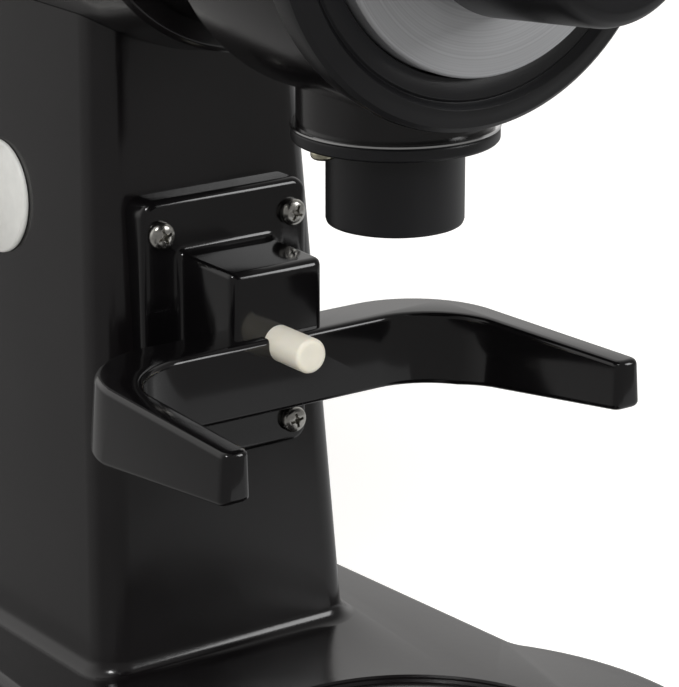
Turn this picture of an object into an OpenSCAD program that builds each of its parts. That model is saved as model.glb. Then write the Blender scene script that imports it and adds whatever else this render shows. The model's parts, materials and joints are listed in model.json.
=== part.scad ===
// Upright electric coffee grinder: cast stand with a round cup plate, horizontal motor and
// grinding head, downward chute and a fork bracket with a push pin that starts the motor.
// Millimetres, +Z up, the front faces -Y, the origin is under the middle of the feet.

/* [Stand] */
// height of the base plate's top above the table
base_top = 24.4; // [20:0.2:36]
// radius of the round front of the base
disc_r = 76.1; // [60:0.1:90]
// distance of the round front's centre ahead of the origin
disc_ahead = 61.8; // [55:0.1:80]
// half width of the base where the flanks meet the round front
flank_half_front = 63; // [45:0.5:72]
// half width of the base at its back
flank_half_back = 56; // [42:0.5:70]
// distance of the base's back edge behind the origin
base_behind = 118; // [100:1:140]
// radius of the base's back corners
base_corner_r = 16; // [6:1:25]
// wall of the base casting
base_wall = 5; // [3:0.5:8]
// chamfer around the base's top edge
base_edge = 2.5; // [1:0.5:5]
// radius of the sunk cup circle in the base
cup_r = 46.5; // [25:0.5:60]
// distance of the cup circle's centre ahead of the origin
cup_ahead = 58.2; // [50:0.2:75]
// depth of the sunk cup circle
cup_depth = 1.6; // [0.5:0.1:3]
// height of the rubber feet under the cover
foot_h = 4.5; // [2:0.5:10]
// radius of a rubber foot
foot_r = 9; // [5:0.5:14]
// thickness of the bottom cover
cover_t = 2; // [1:0.25:4]

/* [Column] */
// half width of the column at the base
col_half_low = 38.5; // [28:0.5:50]
// half width of the column under the motor
col_half_high = 30; // [20:0.5:40]
// distance of the column's front foot behind the bracket face, less than none if ahead of it
col_front_low = -0.8; // [-2:0.1:3]
// distance of the column's front top behind the bracket face
col_front_high = 11.4; // [9.5:0.2:16]
// distance of the column's back behind the origin
col_behind = 108; // [85:1:120]
// radius of the column's upright corners
col_corner_r = 8; // [3:0.5:14]
// wall of the column
col_wall = 4; // [2.5:0.5:7]
// size of the sloping foot around the column
col_foot = 4; // [0:0.5:12]

/* [Motor] */
// height of the motor housing's underside above the bracket plate
head_rise = 35.3; // [20:0.1:70]
// outer radius of the motor housing
housing_r = 53.2; // [45:0.2:65]
// wall of the motor housing
housing_wall = 3; // [2:0.25:6]
// distance of the housing's front face behind the origin
housing_front = 6.7; // [3:0.1:10]
// distance of the housing's back edge behind the origin
housing_behind = 116; // [105:1:130]
// depth of the domed back cover
back_cover_depth = 21.9; // [12:0.1:30]
// room around the stator core inside the housing
stator_room = 4.2; // [2:0.2:10]
// length of the stator core
stator_len = 50; // [30:1:60]
// outer radius of the rotor core
rotor_r = 25; // [18:0.5:32]
// air gap between rotor and stator
air_gap = 0.6; // [0.4:0.1:1.5]
// radius of the shaft
shaft_r = 5; // [4:0.25:8]
// outer radius of the bearings
bearing_r = 13; // [11:0.5:18]
// width of the bearings
bearing_w = 9; // [6:0.5:12]
// room around the cooling fan inside the housing
fan_room = 8.2; // [2:0.2:12]
// running clearance of a turning or sliding piece, on the radius
run_gap = 0.05; // [0.03:0.01:0.1]
// air between fixed pieces that sit side by side
seat_gap = 0.1; // [0.05:0.05:0.4]
// free air between pieces that move past each other
free_gap = 0.5; // [0.3:0.05:1.5]

/* [Grinding head] */
// outer radius of the grinding chamber
chamber_r = 52.8; // [46:0.2:62]
// distance of the chamber's front edge ahead of the origin
chamber_ahead = 61.6; // [55:0.2:70]
// distance of the step behind the chamber ahead of the origin
chamber_step = 30.8; // [26:0.2:34]
// radius of the narrower feed body behind the chamber
feed_r = 45; // [38:0.5:50]
// radius of the chamber's bore
chamber_bore_r = 42; // [38:0.5:46]
// radius of the feed tunnel
tunnel_r = 15; // [12:0.5:18]
// outer radius of the ring burr
burr_r = 33; // [28:0.5:36]
// axial length of the burrs
burr_len = 11; // [8:0.5:14]
// gap between the two burrs at rest
burr_gap = 1; // [0.8:0.05:1.5]
// how far the bezel's front edge stands out past the chamber
bezel_lip = 1.1; // [0:0.1:2.5]
// how far the bezel's back edge stands in from the chamber
bezel_step = 1.3; // [0:0.1:3]
// distance of the bezel's front face ahead of the origin
bezel_ahead = 79.6; // [72:0.2:88]
// radius of the silver dial disc
dial_r = 41; // [34:0.25:46]
// distance of the dial's front face ahead of the origin
dial_ahead = 82.7; // [76:0.1:90]
// radius of the knob at its back
knob_back_r = 26.4; // [20:0.1:34]
// radius of the knob at its front
knob_front_r = 22.4; // [16:0.1:30]
// distance of the knob's front face ahead of the origin
knob_ahead = 126.7; // [110:0.1:134]

/* [Chute] */
// distance of the chute's axis ahead of the origin
chute_ahead = 48; // [44:0.5:50]
// outer radius of the chute tube
chute_r = 16; // [13:0.25:20]
// wall of the chute tube
chute_wall = 3; // [2:0.25:5]
// length of the chute tube below its flange
chute_len = 19.6; // [10:0.2:30]
// distance of the flange's underside below the chamber
flange_below = 8.6; // [7:0.2:14]
// thickness of the flange
flange_t = 4; // [3:0.25:6]
// radius of the flange
flange_r = 24; // [21:0.25:28]
// radius of the neck above the flange
neck_r = 22.8; // [18:0.2:27]
// thickness of the bright gasket ring
gasket_t = 0.8; // [0.5:0.1:2]

/* [Fork bracket] */
// distance of the bracket plate's face behind the origin
plate_y = 22; // [18:0.5:26]
// half width of the bracket plate
plate_half_w = 24.6; // [22:0.1:28]
// height of the plate's top above the table
plate_top = 146.5; // [140:0.5:154]
// height of the plate's foot above the table
plate_low = 76.4; // [70:0.2:84]
// corner radius of the plate
plate_corner_r = 4.4; // [2:0.2:8]
// half distance between the bracket screws, sideways
screw_half_x = 19.5; // [17:0.1:22]
// height of the upper bracket screws
screw_high_z = 138; // [132:0.5:141]
// height of the lower bracket screws
screw_low_z = 83; // [80:0.5:90]
// radius of the bracket screws' heads
screw_head_r = 3.5; // [2.5:0.1:5]
// height of the fork's top above the table
fork_top = 114.6; // [110:0.2:120]
// height of the fork's underside above the table
fork_low = 95.8; // [90:0.2:100]
// height of the underside at the fork's tips
fork_tip_low = 102.4; // [98:0.2:106]
// half width of the fork at its shoulders
fork_half_w = 56.2; // [50:0.2:62]
// half width of the fork at its tips
fork_tip_half_w = 59; // [52:0.2:66]
// distance of the fork's tips ahead of the origin
fork_ahead = 66.5; // [55:0.5:75]
// distance of the fork's back edge behind the origin
fork_behind = 10.3; // [8:0.1:14]
// outer radius of the fork's shoulders
fork_out_r = 25; // [20:0.5:30]
// inner radius of the fork's shoulders
fork_in_r = 21; // [16:0.5:24]
// width of a fork arm
fork_arm_w = 6.2; // [5:0.1:9]
// distance of the fork's inner back wall ahead of the origin
fork_in_ahead = 3; // [1:0.1:8]
// half width of the boss around the push pin
boss_half_w = 13.8; // [10:0.1:18]
// height of the boss's top above the table
boss_top = 132.3; // [126:0.1:136]
// distance of the boss's face ahead of the origin
boss_ahead = 0.6; // [0:0.1:3]

/* [Push pin] */
// radius of the push pin
pin_r = 4.4; // [3.5:0.1:6]
// height of the push pin's axis
pin_z = 112.7; // [108:0.1:118]
// distance of the push pin's tip ahead of the origin
pin_ahead = 15; // [12:0.5:20]
// how far the pin's stop collar stands out past the pin
collar_lip = 1.4; // [1:0.1:3]
// radius of the pin's stem
stem_r = 2.2; // [1.5:0.1:3]
// wire radius of the return spring
spring_wire_r = 0.35; // [0.25:0.05:0.5]

/* [Hopper] */
// distance of the hopper's axis ahead of the origin
hopper_ahead = 12; // [8:0.5:16]
// radius of the hopper collar
collar_ring_r = 33; // [28:0.5:40]
// height of the hopper collar's floor above its shutter slot
collar_floor = 6; // [4:0.5:10]
// radius of the hopper at its top
hopper_r = 58; // [45:0.5:68]
// height of the hopper's rim above the motor axis
hopper_rise = 131; // [110:1:165]
// wall of the hopper
hopper_wall = 2.4; // [1.8:0.1:4]
// radius of the hopper's throat
throat_r = 17; // [14:0.5:20]
// height of the lid's dome
lid_h = 9; // [5:0.5:14]

/* [Electrical parts] */
// height of the mains inlet's centre
inlet_z = 58; // [50:1:80]
// height of the rocker switch's centre
rocker_z = 96; // [85:1:130]
// radius of the round side badge
badge_r = 14.7; // [10:0.1:20]
// distance of the badge's centre below the bracket plate's top
badge_below = 8; // [0:0.5:40]
// distance of the badge's centre behind the origin
badge_behind = 76.8; // [55:0.2:85]
// radius of the run capacitor
cap_r = 15; // [10:0.5:18]
// distance of the run capacitor behind the origin
cap_behind = 64; // [55:1:66]
// length of the run capacitor
cap_len = 42; // [30:1:50]

/* [Hidden] */
$fn = 64;
slab_low = foot_h - 0.5;
axis_z = plate_top + head_rise + housing_r;
badge_z = plate_top - badge_below;
col_top = axis_z - sqrt(housing_r * housing_r - col_half_high * col_half_high) + 6;
col_front_slope = (col_front_high - col_front_low) / (col_top - base_top);
front_at_pin = plate_y + col_front_low + col_front_slope * (pin_z - base_top);
stator_r = housing_r - housing_wall - stator_room;
fan_r = housing_r - housing_wall - fan_room;
slot_at_r = rotor_r + 8;
bezel_r = chamber_r + bezel_lip;
bezel_back_r = chamber_r - bezel_step;
groove_r = dial_r + 5.6;
click_r = dial_r - 5;
flange_z = axis_z - chamber_r - flange_below;
chute_mouth_z = flange_z - chute_len;
hopper_top = axis_z + hopper_rise;
collar_r = pin_r + collar_lip;
stator_front = housing_front + 25;
stator_back = stator_front + stator_len;
rear_bearing_y = housing_behind - 3;
cone_front = chamber_step + burr_len + 1;
cone_back = chamber_step + 2.2;
cone_big_r = burr_r - 6;
cone_small_r = tunnel_r + 2;
cone_slope = (cone_big_r - cone_small_r) / (cone_front - cone_back);
holder_r = chamber_bore_r - run_gap;
holder_plate_y = chamber_ahead - 2;
neck_top_z = flange_z + flange_t + gasket_t;
shutter_z = axis_z + max(chamber_r, housing_r) + free_gap;
collar_top = shutter_z + collar_floor;
flange_screw_x = (chute_r + flange_r) / 2 + 0.2;
fork_in_cx = fork_half_w - fork_arm_w - fork_in_r;
fork_out_cx = fork_half_w - fork_out_r;
lever_y = front_at_pin + 11;
cap_low = pin_z - 23 - free_gap - 4 - cap_len;
clip_z = cap_low + 12;
clip_half = col_half_low - col_wall - seat_gap
    - (col_half_low - col_half_high) * (clip_z + 12 - base_top) / (col_top - base_top);
pivot_z = pin_z - 9;
posts = [[-46, -86], [46, -86], [-41, 98], [41, 98]];
feet_at = [[-40, -104], [40, -104], [-37, 84], [37, 84]];

// which piece to build, or all

// turned solid about the motor axis: profile points are [radius, y]
module rev_y(points) {
    translate([0, 0, axis_z]) rotate([-90, 0, 0]) rotate_extrude() polygon(points);
}
module cyl_y(r, y0, y1, x = 0, z = axis_z) {
    translate([x, y0, z]) rotate([-90, 0, 0]) cylinder(h = y1 - y0, r = r);
}
module ring_y(ro, ri, y0, y1, x = 0, z = axis_z) {
    difference() {
        cyl_y(ro, y0, y1, x, z);
        cyl_y(ri, y0 - 1, y1 + 1, x, z);
    }
}
module round_rect(hx, y0, y1, r) {
    translate([-hx + r, y0]) square([2 * (hx - r), y1 - y0]);
    translate([-hx, y0 + r]) square([2 * hx, y1 - y0 - 2 * r]);
    for (x = [-hx + r, hx - r]) for (y = [y0 + r, y1 - r]) translate([x, y]) circle(r);
}
module base_2d(inset) {
    translate([0, -disc_ahead]) circle(disc_r - inset, $fn = 96);
    wf = flank_half_front - inset;
    wb = flank_half_back - inset;
    yb = base_behind - inset;
    r = base_corner_r - inset;
    polygon([[-wf, -disc_ahead + 30], [wf, -disc_ahead + 30], [wb, yb - r], [wb - r, yb],
        [-(wb - r), yb], [-wb, yb - r]]);
    for (s = [-1, 1]) translate([s * (wb - r), yb - r]) circle(r);
}
module column_at(z, grow) {
    k = (z - base_top) / (col_top - base_top);
    hx = col_half_low + (col_half_high - col_half_low) * k + grow;
    yf = plate_y + col_front_low + (col_front_high - col_front_low) * k - grow;
    translate([0, 0, z]) linear_extrude(0.02)
        round_rect(hx, yf, col_behind + grow, max(1.5, col_corner_r + grow), $fn = 32);
}
// a cap screw with a domed head and a cross recess, head up, shank down from z 0
module cross_screw(head_r, head_h, shank_r, len) {
    difference() {
        rotate_extrude() polygon([[0, -len], [shank_r, -len], [shank_r, 0], [head_r, 0],
            [head_r, head_h * 0.45], [head_r * 0.86, head_h * 0.8], [head_r * 0.5, head_h],
            [0, head_h]]);
        for (a = [0, 90]) rotate(a) translate([-head_r * 0.52, -head_r * 0.11, head_h * 0.4])
            cube([head_r * 1.04, head_r * 0.22, head_h]);
    }
}

module body() {
    // rib inside the column that carries the switch
    color("#26272a") difference() {
        translate([3.2 + seat_gap, front_at_pin + 1.5, pin_z - 14])
            cube([4, lever_y + 14.5 - front_at_pin, 24]);
        for (z = [pin_z - 8, pin_z + 2]) translate([0, lever_y + 11, z]) rotate([0, 90, 0])
            cylinder(h = 20, r = 1.25);
    }
    color("#26272a") difference() {
        union() {
            translate([0, 0, slab_low]) linear_extrude(base_top - slab_low - base_edge) base_2d(0);
            translate([0, 0, base_top - base_edge - 0.01]) linear_extrude(base_edge + 0.01)
                base_2d(base_edge * 0.6);
            hull() {
                column_at(base_top - 1, 0);
                column_at(col_top, 0);
            }
            hull() {
                column_at(base_top - 0.5, col_foot);
                column_at(base_top + col_foot + 3, -1.5);
            }
        }
        // sunk cup circle
        translate([0, -cup_ahead, base_top - cup_depth]) cylinder(h = 5, r = cup_r);
        // hollow under the base, with posts for the cover screws
        difference() {
            translate([0, 0, 0]) linear_extrude(base_top - base_wall) base_2d(base_wall);
            for (p = posts) translate([p[0], p[1], slab_low + cover_t + 0.5]) cylinder(h = 60, r = 6);
        }
        for (p = posts) translate([p[0], p[1], 0]) cylinder(h = base_top - base_wall, r = 1.75);
        // hollow column under the motor saddle
        difference() {
            hull() {
                column_at(base_top - base_wall - 1, -col_wall);
                column_at(col_top + 1, -col_wall);
            }
            cyl_y(housing_r + 5, -10, col_behind + 20);
        }
        cyl_y(housing_r + seat_gap, -10, col_behind + 40);
        // cable pass to the motor and two screws up into the housing
        translate([0, 92, axis_z - housing_r - 10]) cylinder(h = 20, r = 6);
        for (y = [52, 76]) translate([0, y, axis_z - housing_r - 10]) cylinder(h = 20, r = 2.7);
        // push pin passage and threaded holes for the bracket
        cyl_y(stem_r + 0.6, plate_y - 20, front_at_pin + 20, 0, pin_z);
        for (x = [-screw_half_x, screw_half_x]) for (z = [screw_low_z, screw_high_z])
            cyl_y(1.75, plate_y, plate_y + 40, x, z);
        // openings in the back wall
        translate([-13.9, col_behind - 12, inlet_z - 9.9]) cube([27.8, 30, 19.8]);
        translate([-10.6, col_behind - 12, rocker_z - 6.1]) cube([21.2, 30, 12.2]);
        for (x = [-20, 20]) cyl_y(1.6, col_behind - 12, col_behind + 10, x, inlet_z);
    }
}

module base_cover() {
    color("#1c1c1e") difference() {
        translate([0, 0, slab_low + 0.4]) linear_extrude(cover_t) base_2d(base_wall + 0.3);
        for (p = posts) translate([p[0], p[1], 0]) cylinder(h = 20, r = 2.2);
        for (p = feet_at) translate([p[0], p[1], 0]) cylinder(h = 20, r = 2.2);
        for (i = [-3:3]) translate([i * 9 - 1.5, 30, 0]) cube([3, 30, 20]);
    }
}

module cover_screws() {
    color("#b9bbbd") for (p = posts) translate([p[0], p[1], slab_low + 0.4 - seat_gap])
        rotate([180, 0, 0]) cross_screw(3, 1.8, 1.7, 12);
}

module feet() {
    color("#141414") for (p = feet_at) translate([p[0], p[1], 0]) difference() {
        rotate_extrude() polygon([[0, 0], [foot_r - 0.8, 0], [foot_r, 0.8],
            [foot_r - 0.6, slab_low + 0.3], [0, slab_low + 0.3]]);
        translate([0, 0, -1]) cylinder(h = 20, r = 2.2);
        translate([0, 0, -1]) cylinder(h = 3, r = 4.2);
    }
}

module foot_screws() {
    color("#b9bbbd") for (p = feet_at) translate([p[0], p[1], 2]) difference() {
        union() {
            translate([0, 0, -seat_gap]) rotate([180, 0, 0]) cross_screw(3.4, 1.5, 1.8, 1);
            translate([0, 0, -seat_gap]) cylinder(h = 8, r = 1.8);
        }
    }
}

module badge() {
    k = (badge_z - base_top) / (col_top - base_top);
    side = col_half_low + (col_half_high - col_half_low) * k;
    tilt = atan((col_half_low - col_half_high) / (col_top - base_top));
    color("#e9e9e6") translate([-side - seat_gap, badge_behind, badge_z]) rotate([0, -90 + tilt, 0])
        rotate_extrude() polygon([[0, 0], [badge_r, 0], [badge_r, 0.9], [badge_r - 0.6, 1.4],
            [0, 1.4]]);
}

module motor_housing() {
    hi = housing_r - housing_wall;
    color("#2b2c2f") difference() {
        rev_y([[0, housing_front], [housing_r - 2.2, housing_front], [housing_r, housing_front + 16.4],
            [housing_r, housing_behind], [hi, housing_behind], [hi, housing_front + 8],
            [0, housing_front + 8]]);
        cyl_y(shaft_r + 2, 0, 60);
        cyl_y(bearing_r + run_gap, housing_front - 1, housing_front + bearing_w);
        for (y = [52, 76]) translate([0, y, axis_z - housing_r - 1]) cylinder(h = 8, r = 2.2);
        translate([0, 92, axis_z - housing_r - 1]) cylinder(h = 8, r = 6);
        for (a = [45, 135, 225, 315]) translate([38 * cos(a), 0, 38 * sin(a)])
            cyl_y(2.1, housing_front - 1, housing_front + 9);
        for (a = [0, 120, 240]) translate([(hi - 3) * sin(a), 0, (hi - 3) * cos(a)])
            cyl_y(1.5, housing_behind - 12, housing_behind + 1);
    }
}

module housing_screws() {
    color("#b9bbbd") for (y = [52, 76]) translate([0, y, axis_z - housing_r - 5.2 - seat_gap])
        rotate([180, 0, 0]) cross_screw(4.4, 2.6, 2.1, 7);
}

module stator_core() {
    color("#8b8d90") difference() {
        cyl_y(stator_r, stator_front, stator_back);
        cyl_y(rotor_r + air_gap, stator_front - 1, stator_back + 1);
        for (a = [0:30:330]) translate([slot_at_r * cos(a), 0, slot_at_r * sin(a)])
            cyl_y(3.2, stator_front - 1, stator_back + 1);
    }
    // three lugs that key the core in the housing
    color("#8b8d90") for (a = [30, 150, 270]) intersection() {
        ring_y(housing_r - housing_wall - seat_gap, stator_r - 0.5, stator_front + 5,
            stator_back - 5);
        translate([0, 0, axis_z]) rotate([0, -a, 0]) translate([rotor_r + 5, 0, -5]) cube([40, 200, 10]);
    }
}

module windings() {
    color("#a5562a") {
        ring_y(stator_r - 2, rotor_r + 3, stator_front - 9, stator_front - seat_gap);
        ring_y(stator_r - 2, rotor_r + 3, stator_back + seat_gap, stator_back + 9);
        for (a = [0:30:330]) translate([slot_at_r * cos(a), 0, slot_at_r * sin(a)])
            cyl_y(2.9, stator_front - 0.5, stator_back + 0.5);
    }
}

module rotor_core() {
    color("#77797c") ring_y(rotor_r, shaft_r + seat_gap / 2, stator_front, stator_back);
}

module shaft() {
    color("#c3c5c8") rev_y([[0, -cone_front - 5], [shaft_r - 1, -cone_front - 5],
        [shaft_r - 1, -cone_front - 0.5], [shaft_r - 1, -chamber_step + 4], [shaft_r, -chamber_step + 4],
        [shaft_r, rear_bearing_y + bearing_w + 1], [0, rear_bearing_y + bearing_w + 1]]);
}

module ball_bearing(y) {
    color("#c9cbce") {
        difference() {
            union() {
                ring_y(bearing_r, bearing_r - 2.5, y, y + bearing_w);
                ring_y(bearing_r - 2.6, shaft_r + 2.6, y + 1, y + bearing_w - 1);
                ring_y(shaft_r + 2.8, shaft_r + run_gap, y, y + bearing_w);
            }
        }
    }
}
module front_bearing() { ball_bearing(housing_front + 0.1 - 0.05); }
module rear_bearing() { ball_bearing(rear_bearing_y); }

module fan() {
    y = stator_back + 11;
    color("#3a3b3e") {
        ring_y(10, shaft_r + seat_gap / 2, y, y + 9);
        ring_y(fan_r, 9, y, y + 1.6);
        for (a = [0:36:324]) translate([0, 0, axis_z]) rotate([0, a, 0])
            translate([14, y + 1, -0.8]) cube([fan_r - 15, 8, 1.6]);
    }
}

module back_cover() {
    hi = housing_r - housing_wall - seat_gap;
    yb = housing_behind + back_cover_depth;
    color("#1f2022") difference() {
        rev_y([[0, yb], [housing_r - 14, yb], [housing_r - 5, yb - 3], [housing_r, yb - 11],
            [housing_r, housing_behind + seat_gap], [hi - 7, housing_behind + seat_gap],
            [hi - 7, yb - 6], [bearing_r + 3, yb - 3], [bearing_r + 3, rear_bearing_y + 0.5],
            [bearing_r + run_gap, rear_bearing_y + 0.5],
            [bearing_r + run_gap, rear_bearing_y + bearing_w + 2.2],
            [0, rear_bearing_y + bearing_w + 2.2]]);
        // cooling slots and screw holes
        for (a = [0:30:330]) translate([0, 0, axis_z]) rotate([0, a, 0])
            translate([20, yb - 12, -1.6]) cube([15, 20, 3.2]);
        for (a = [0, 120, 240]) translate([(hi - 2.9) * sin(a), 0, (hi - 2.9) * cos(a)]) {
            cyl_y(1.8, housing_behind - 1, yb + 5);
            cyl_y(3.4, housing_behind + 4, yb + 5);
        }
    }
}

module back_cover_screws() {
    hi = housing_r - housing_wall - seat_gap;
    color("#b9bbbd") for (a = [0, 120, 240]) translate([(hi - 2.9) * sin(a), housing_behind + 4.05,
        axis_z + (hi - 2.9) * cos(a)]) rotate([-90, 0, 0]) cross_screw(2.8, 1.6, 1.4, 14);
}

module grinding_chamber() {
    color("#242528") difference() {
        union() {
            rev_y([[0, -chamber_step], [0, housing_front - seat_gap], [feed_r, housing_front - seat_gap],
                [feed_r, -chamber_step], [chamber_r - 1.5, -chamber_step],
                [chamber_r, -chamber_step - 1.5], [chamber_r, -chamber_ahead],
                [chamber_bore_r, -chamber_ahead], [chamber_bore_r, -chamber_step - 1],
                [0, -chamber_step - 1]]);
            // neck down to the chute and pedestal up to the hopper collar
            translate([0, -chute_ahead, neck_top_z]) cylinder(h = 30, r = neck_r);
            translate([0, -hopper_ahead, axis_z + 20]) cylinder(h = feed_r - 18, r = throat_r + 1.5);
        }
        cyl_y(chamber_bore_r, -chamber_ahead - 30, -chamber_step - 1);
        // seat of the bezel ring in front of the neck
        cyl_y(bezel_r + seat_gap, -bezel_ahead - 5, -chamber_ahead);
        cyl_y(tunnel_r, -chamber_step - 2, -2);
        cyl_y(shaft_r + 1, -10, 30);
        translate([0, -hopper_ahead, axis_z]) cylinder(h = 80, r = throat_r - 4);
        translate([0, -chute_ahead, neck_top_z - 1]) cylinder(h = 60, r = chute_r - chute_wall);
        for (a = [45, 135, 225, 315]) translate([38 * cos(a), 0, 38 * sin(a)])
            cyl_y(1.7, -14, housing_front + 1);
        for (s = [-1, 1]) translate([s * flange_screw_x, -chute_ahead, neck_top_z - 1])
            cylinder(h = 9, r = 1.5);
        for (a = [90, 210, 330]) translate([(chamber_bore_r + 5) * cos(a), 0,
            (chamber_bore_r + 5) * sin(a)]) cyl_y(1.5, -chamber_ahead - 1, -chamber_ahead + 10);
    }
}

module chamber_screws() {
    color("#b9bbbd") for (a = [45, 135, 225, 315]) translate([38 * cos(a),
        housing_front + 8 + seat_gap / 2, axis_z + 38 * sin(a)]) rotate([-90, 0, 0])
        cross_screw(3.2, 2, 1.6, 20);
}

module ring_burr() {
    color("#9a9da1") difference() {
        cyl_y(burr_r, -cone_front + 0.2, -cone_back);
        translate([0, 0, axis_z]) rotate([-90, 0, 0]) rotate_extrude() polygon([[0, -cone_front - 1],
            [cone_big_r + burr_gap + cone_slope, -cone_front - 1],
            [cone_small_r + burr_gap - cone_slope, -cone_back + 1], [0, -cone_back + 1]]);
        for (a = [0:20:340]) translate([0, 0, axis_z]) rotate([0, a, 0])
            translate([cone_small_r, -cone_front, -0.6]) cube([burr_r - cone_small_r - 2.5, burr_len, 1.2]);
    }
}

module cone_burr() {
    color("#a6a9ad") difference() {
        rev_y([[shaft_r - 1 + 0.05, -cone_front], [cone_big_r, -cone_front],
            [cone_small_r, -cone_back], [shaft_r - 1 + 0.05, -cone_back]]);
        for (a = [0:20:340]) translate([0, 0, axis_z]) rotate([0, a, 0])
            translate([cone_big_r - 3, -cone_front - 1, -0.6]) cube([10, burr_len * 0.7, 1.2]);
    }
}

module auger() {
    color("#8f9296") {
        ring_y(shaft_r + 2.5, shaft_r + seat_gap / 2, -chamber_step + 4.5, -3);
        for (i = [0:2]) translate([0, -9 - i * 6, axis_z]) rotate([0, i * 75, 0]) rotate([-76, 0, 0])
            translate([0, 0, -0.8]) difference() {
                cylinder(h = 1.6, r = tunnel_r - 1.5);
                translate([0, 0, -1]) cylinder(h = 4, r = shaft_r + 1.8);
            }
    }
}

// carrier of the ring burr: collar, three arms and a front plate with a threaded hub
module burr_holder() {
    color("#b4b6b9") difference() {
        union() {
            ring_y(holder_r, burr_r + seat_gap, -cone_front - 1, -cone_back);
            cyl_y(holder_r, -holder_plate_y - 3, -holder_plate_y);
            for (a = [90, 210, 330]) intersection() {
                ring_y(holder_r, burr_r + 1, -holder_plate_y, -cone_front);
                translate([0, 0, axis_z]) rotate([0, -a - 0, 0]) translate([20, -100, -6])
                    cube([40, 200, 12]);
            }
            cyl_y(10, -holder_plate_y - 9, -holder_plate_y);
        }
        cyl_y(4 + run_gap, -120, -holder_plate_y + 5);
    }
}

module bezel_ring() {
    color("#1b1b1d") difference() {
        rev_y([[dial_r + free_gap, -bezel_ahead + 1], [groove_r, -bezel_ahead - 0.2],
            [groove_r + 0.6, -bezel_ahead + 0.8], [groove_r + 1.4, -bezel_ahead - 0.8],
            [bezel_r - 1.2, -bezel_ahead], [bezel_r, -bezel_ahead + 1.2],
            [bezel_back_r, -chamber_ahead - 0.5], [bezel_back_r, -chamber_ahead - seat_gap],
            [chamber_bore_r + 0.5, -chamber_ahead - seat_gap], [chamber_bore_r + 0.5, -bezel_ahead + 9],
            [dial_r + free_gap, -bezel_ahead + 9]]);
        for (a = [90, 210, 330]) translate([(chamber_bore_r + 5) * cos(a), 0,
            (chamber_bore_r + 5) * sin(a)]) cyl_y(1.5, -chamber_ahead - 9, -chamber_ahead + 1);
    }
}

module dial_disc() {
    color("#c6c8ca") difference() {
        rev_y([[0, -bezel_ahead + 5], [dial_r, -bezel_ahead + 5], [dial_r, -dial_ahead + 0.8],
            [dial_r - 0.8, -dial_ahead], [0, -dial_ahead]]);
        cyl_y(4 + seat_gap / 2, -120, 0);
        // click pockets on the back, one every ten degrees
        for (a = [0:10:350]) translate([click_r * cos(a), 0, click_r * sin(a)])
            cyl_y(1.2, -bezel_ahead + 4.2, -bezel_ahead + 6, 0, axis_z);
    }
}

module knob() {
    yb = dial_ahead + seat_gap;
    color("#161617") difference() {
        rev_y([[0, -yb], [knob_back_r - 3, -yb], [knob_back_r - 3, -yb - 4], [knob_back_r, -yb - 7],
            [knob_front_r + 0.6, -knob_ahead + 3], [knob_front_r - 2.4, -knob_ahead], [0, -knob_ahead]]);
        cyl_y(4 + seat_gap / 2, -knob_ahead + 8, 0);
    }
}

module knob_spindle() {
    color("#b4b6b9") union() {
        cyl_y(4, -knob_ahead + 9, -holder_plate_y + 1.5);
        ring_y(8, 3.9, -bezel_ahead + 5 + seat_gap, -bezel_ahead + 7);
    }
}

// click ball and its spring, in a pocket of the ring's inner lip
module detent_ball() {
    color("#c9cbce") translate([-click_r, -bezel_ahead + 5 + 1.5, axis_z]) sphere(r = 1.15, $fn = 32);
}
module detent_spring() {
    color("#b9bbbd") ring_y(1.3, 0.7, -bezel_ahead + 7.9, -bezel_ahead + 11, -click_r, axis_z);
    // small sheet bracket that carries ball and spring, held in the bezel ring's bore
    color("#b9bbbd") difference() {
        translate([-chamber_bore_r - 0.3, -bezel_ahead + 11.05, axis_z - 4]) cube([10.3, 1, 8]);
        cyl_y(0.5, -100, 0, -click_r, axis_z);
    }
}

module chute() {
    color("#1d1d1f") difference() {
        union() {
            translate([0, -chute_ahead, flange_z]) cylinder(h = flange_t, r = flange_r);
            translate([0, -chute_ahead, chute_mouth_z + 1]) cylinder(h = flange_z - chute_mouth_z, r = chute_r);
            translate([0, -chute_ahead, chute_mouth_z]) cylinder(h = 1.01, r1 = chute_r - 1, r2 = chute_r);
        }
        translate([0, -chute_ahead, chute_mouth_z - 1]) cylinder(h = 60, r = chute_r - chute_wall);
        for (s = [-1, 1]) translate([s * flange_screw_x, -chute_ahead, flange_z - 1])
            cylinder(h = 9, r = 1.75);
    }
}

module chute_gasket() {
    color("#cfd0d0") translate([0, -chute_ahead, flange_z + flange_t]) difference() {
        cylinder(h = gasket_t, r = flange_r + 0.15);
        translate([0, 0, -1]) cylinder(h = 4, r = chute_r - chute_wall + 0.5);
        for (s = [-1, 1]) translate([s * flange_screw_x, 0, -1]) cylinder(h = 9, r = 1.75);
    }
}

module chute_screws() {
    color("#d6d3c6") for (s = [-1, 1]) translate([s * flange_screw_x, -chute_ahead, flange_z - seat_gap])
        rotate([180, 0, 0]) cross_screw(2.9, 2, 1.45, 11);
}

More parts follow.
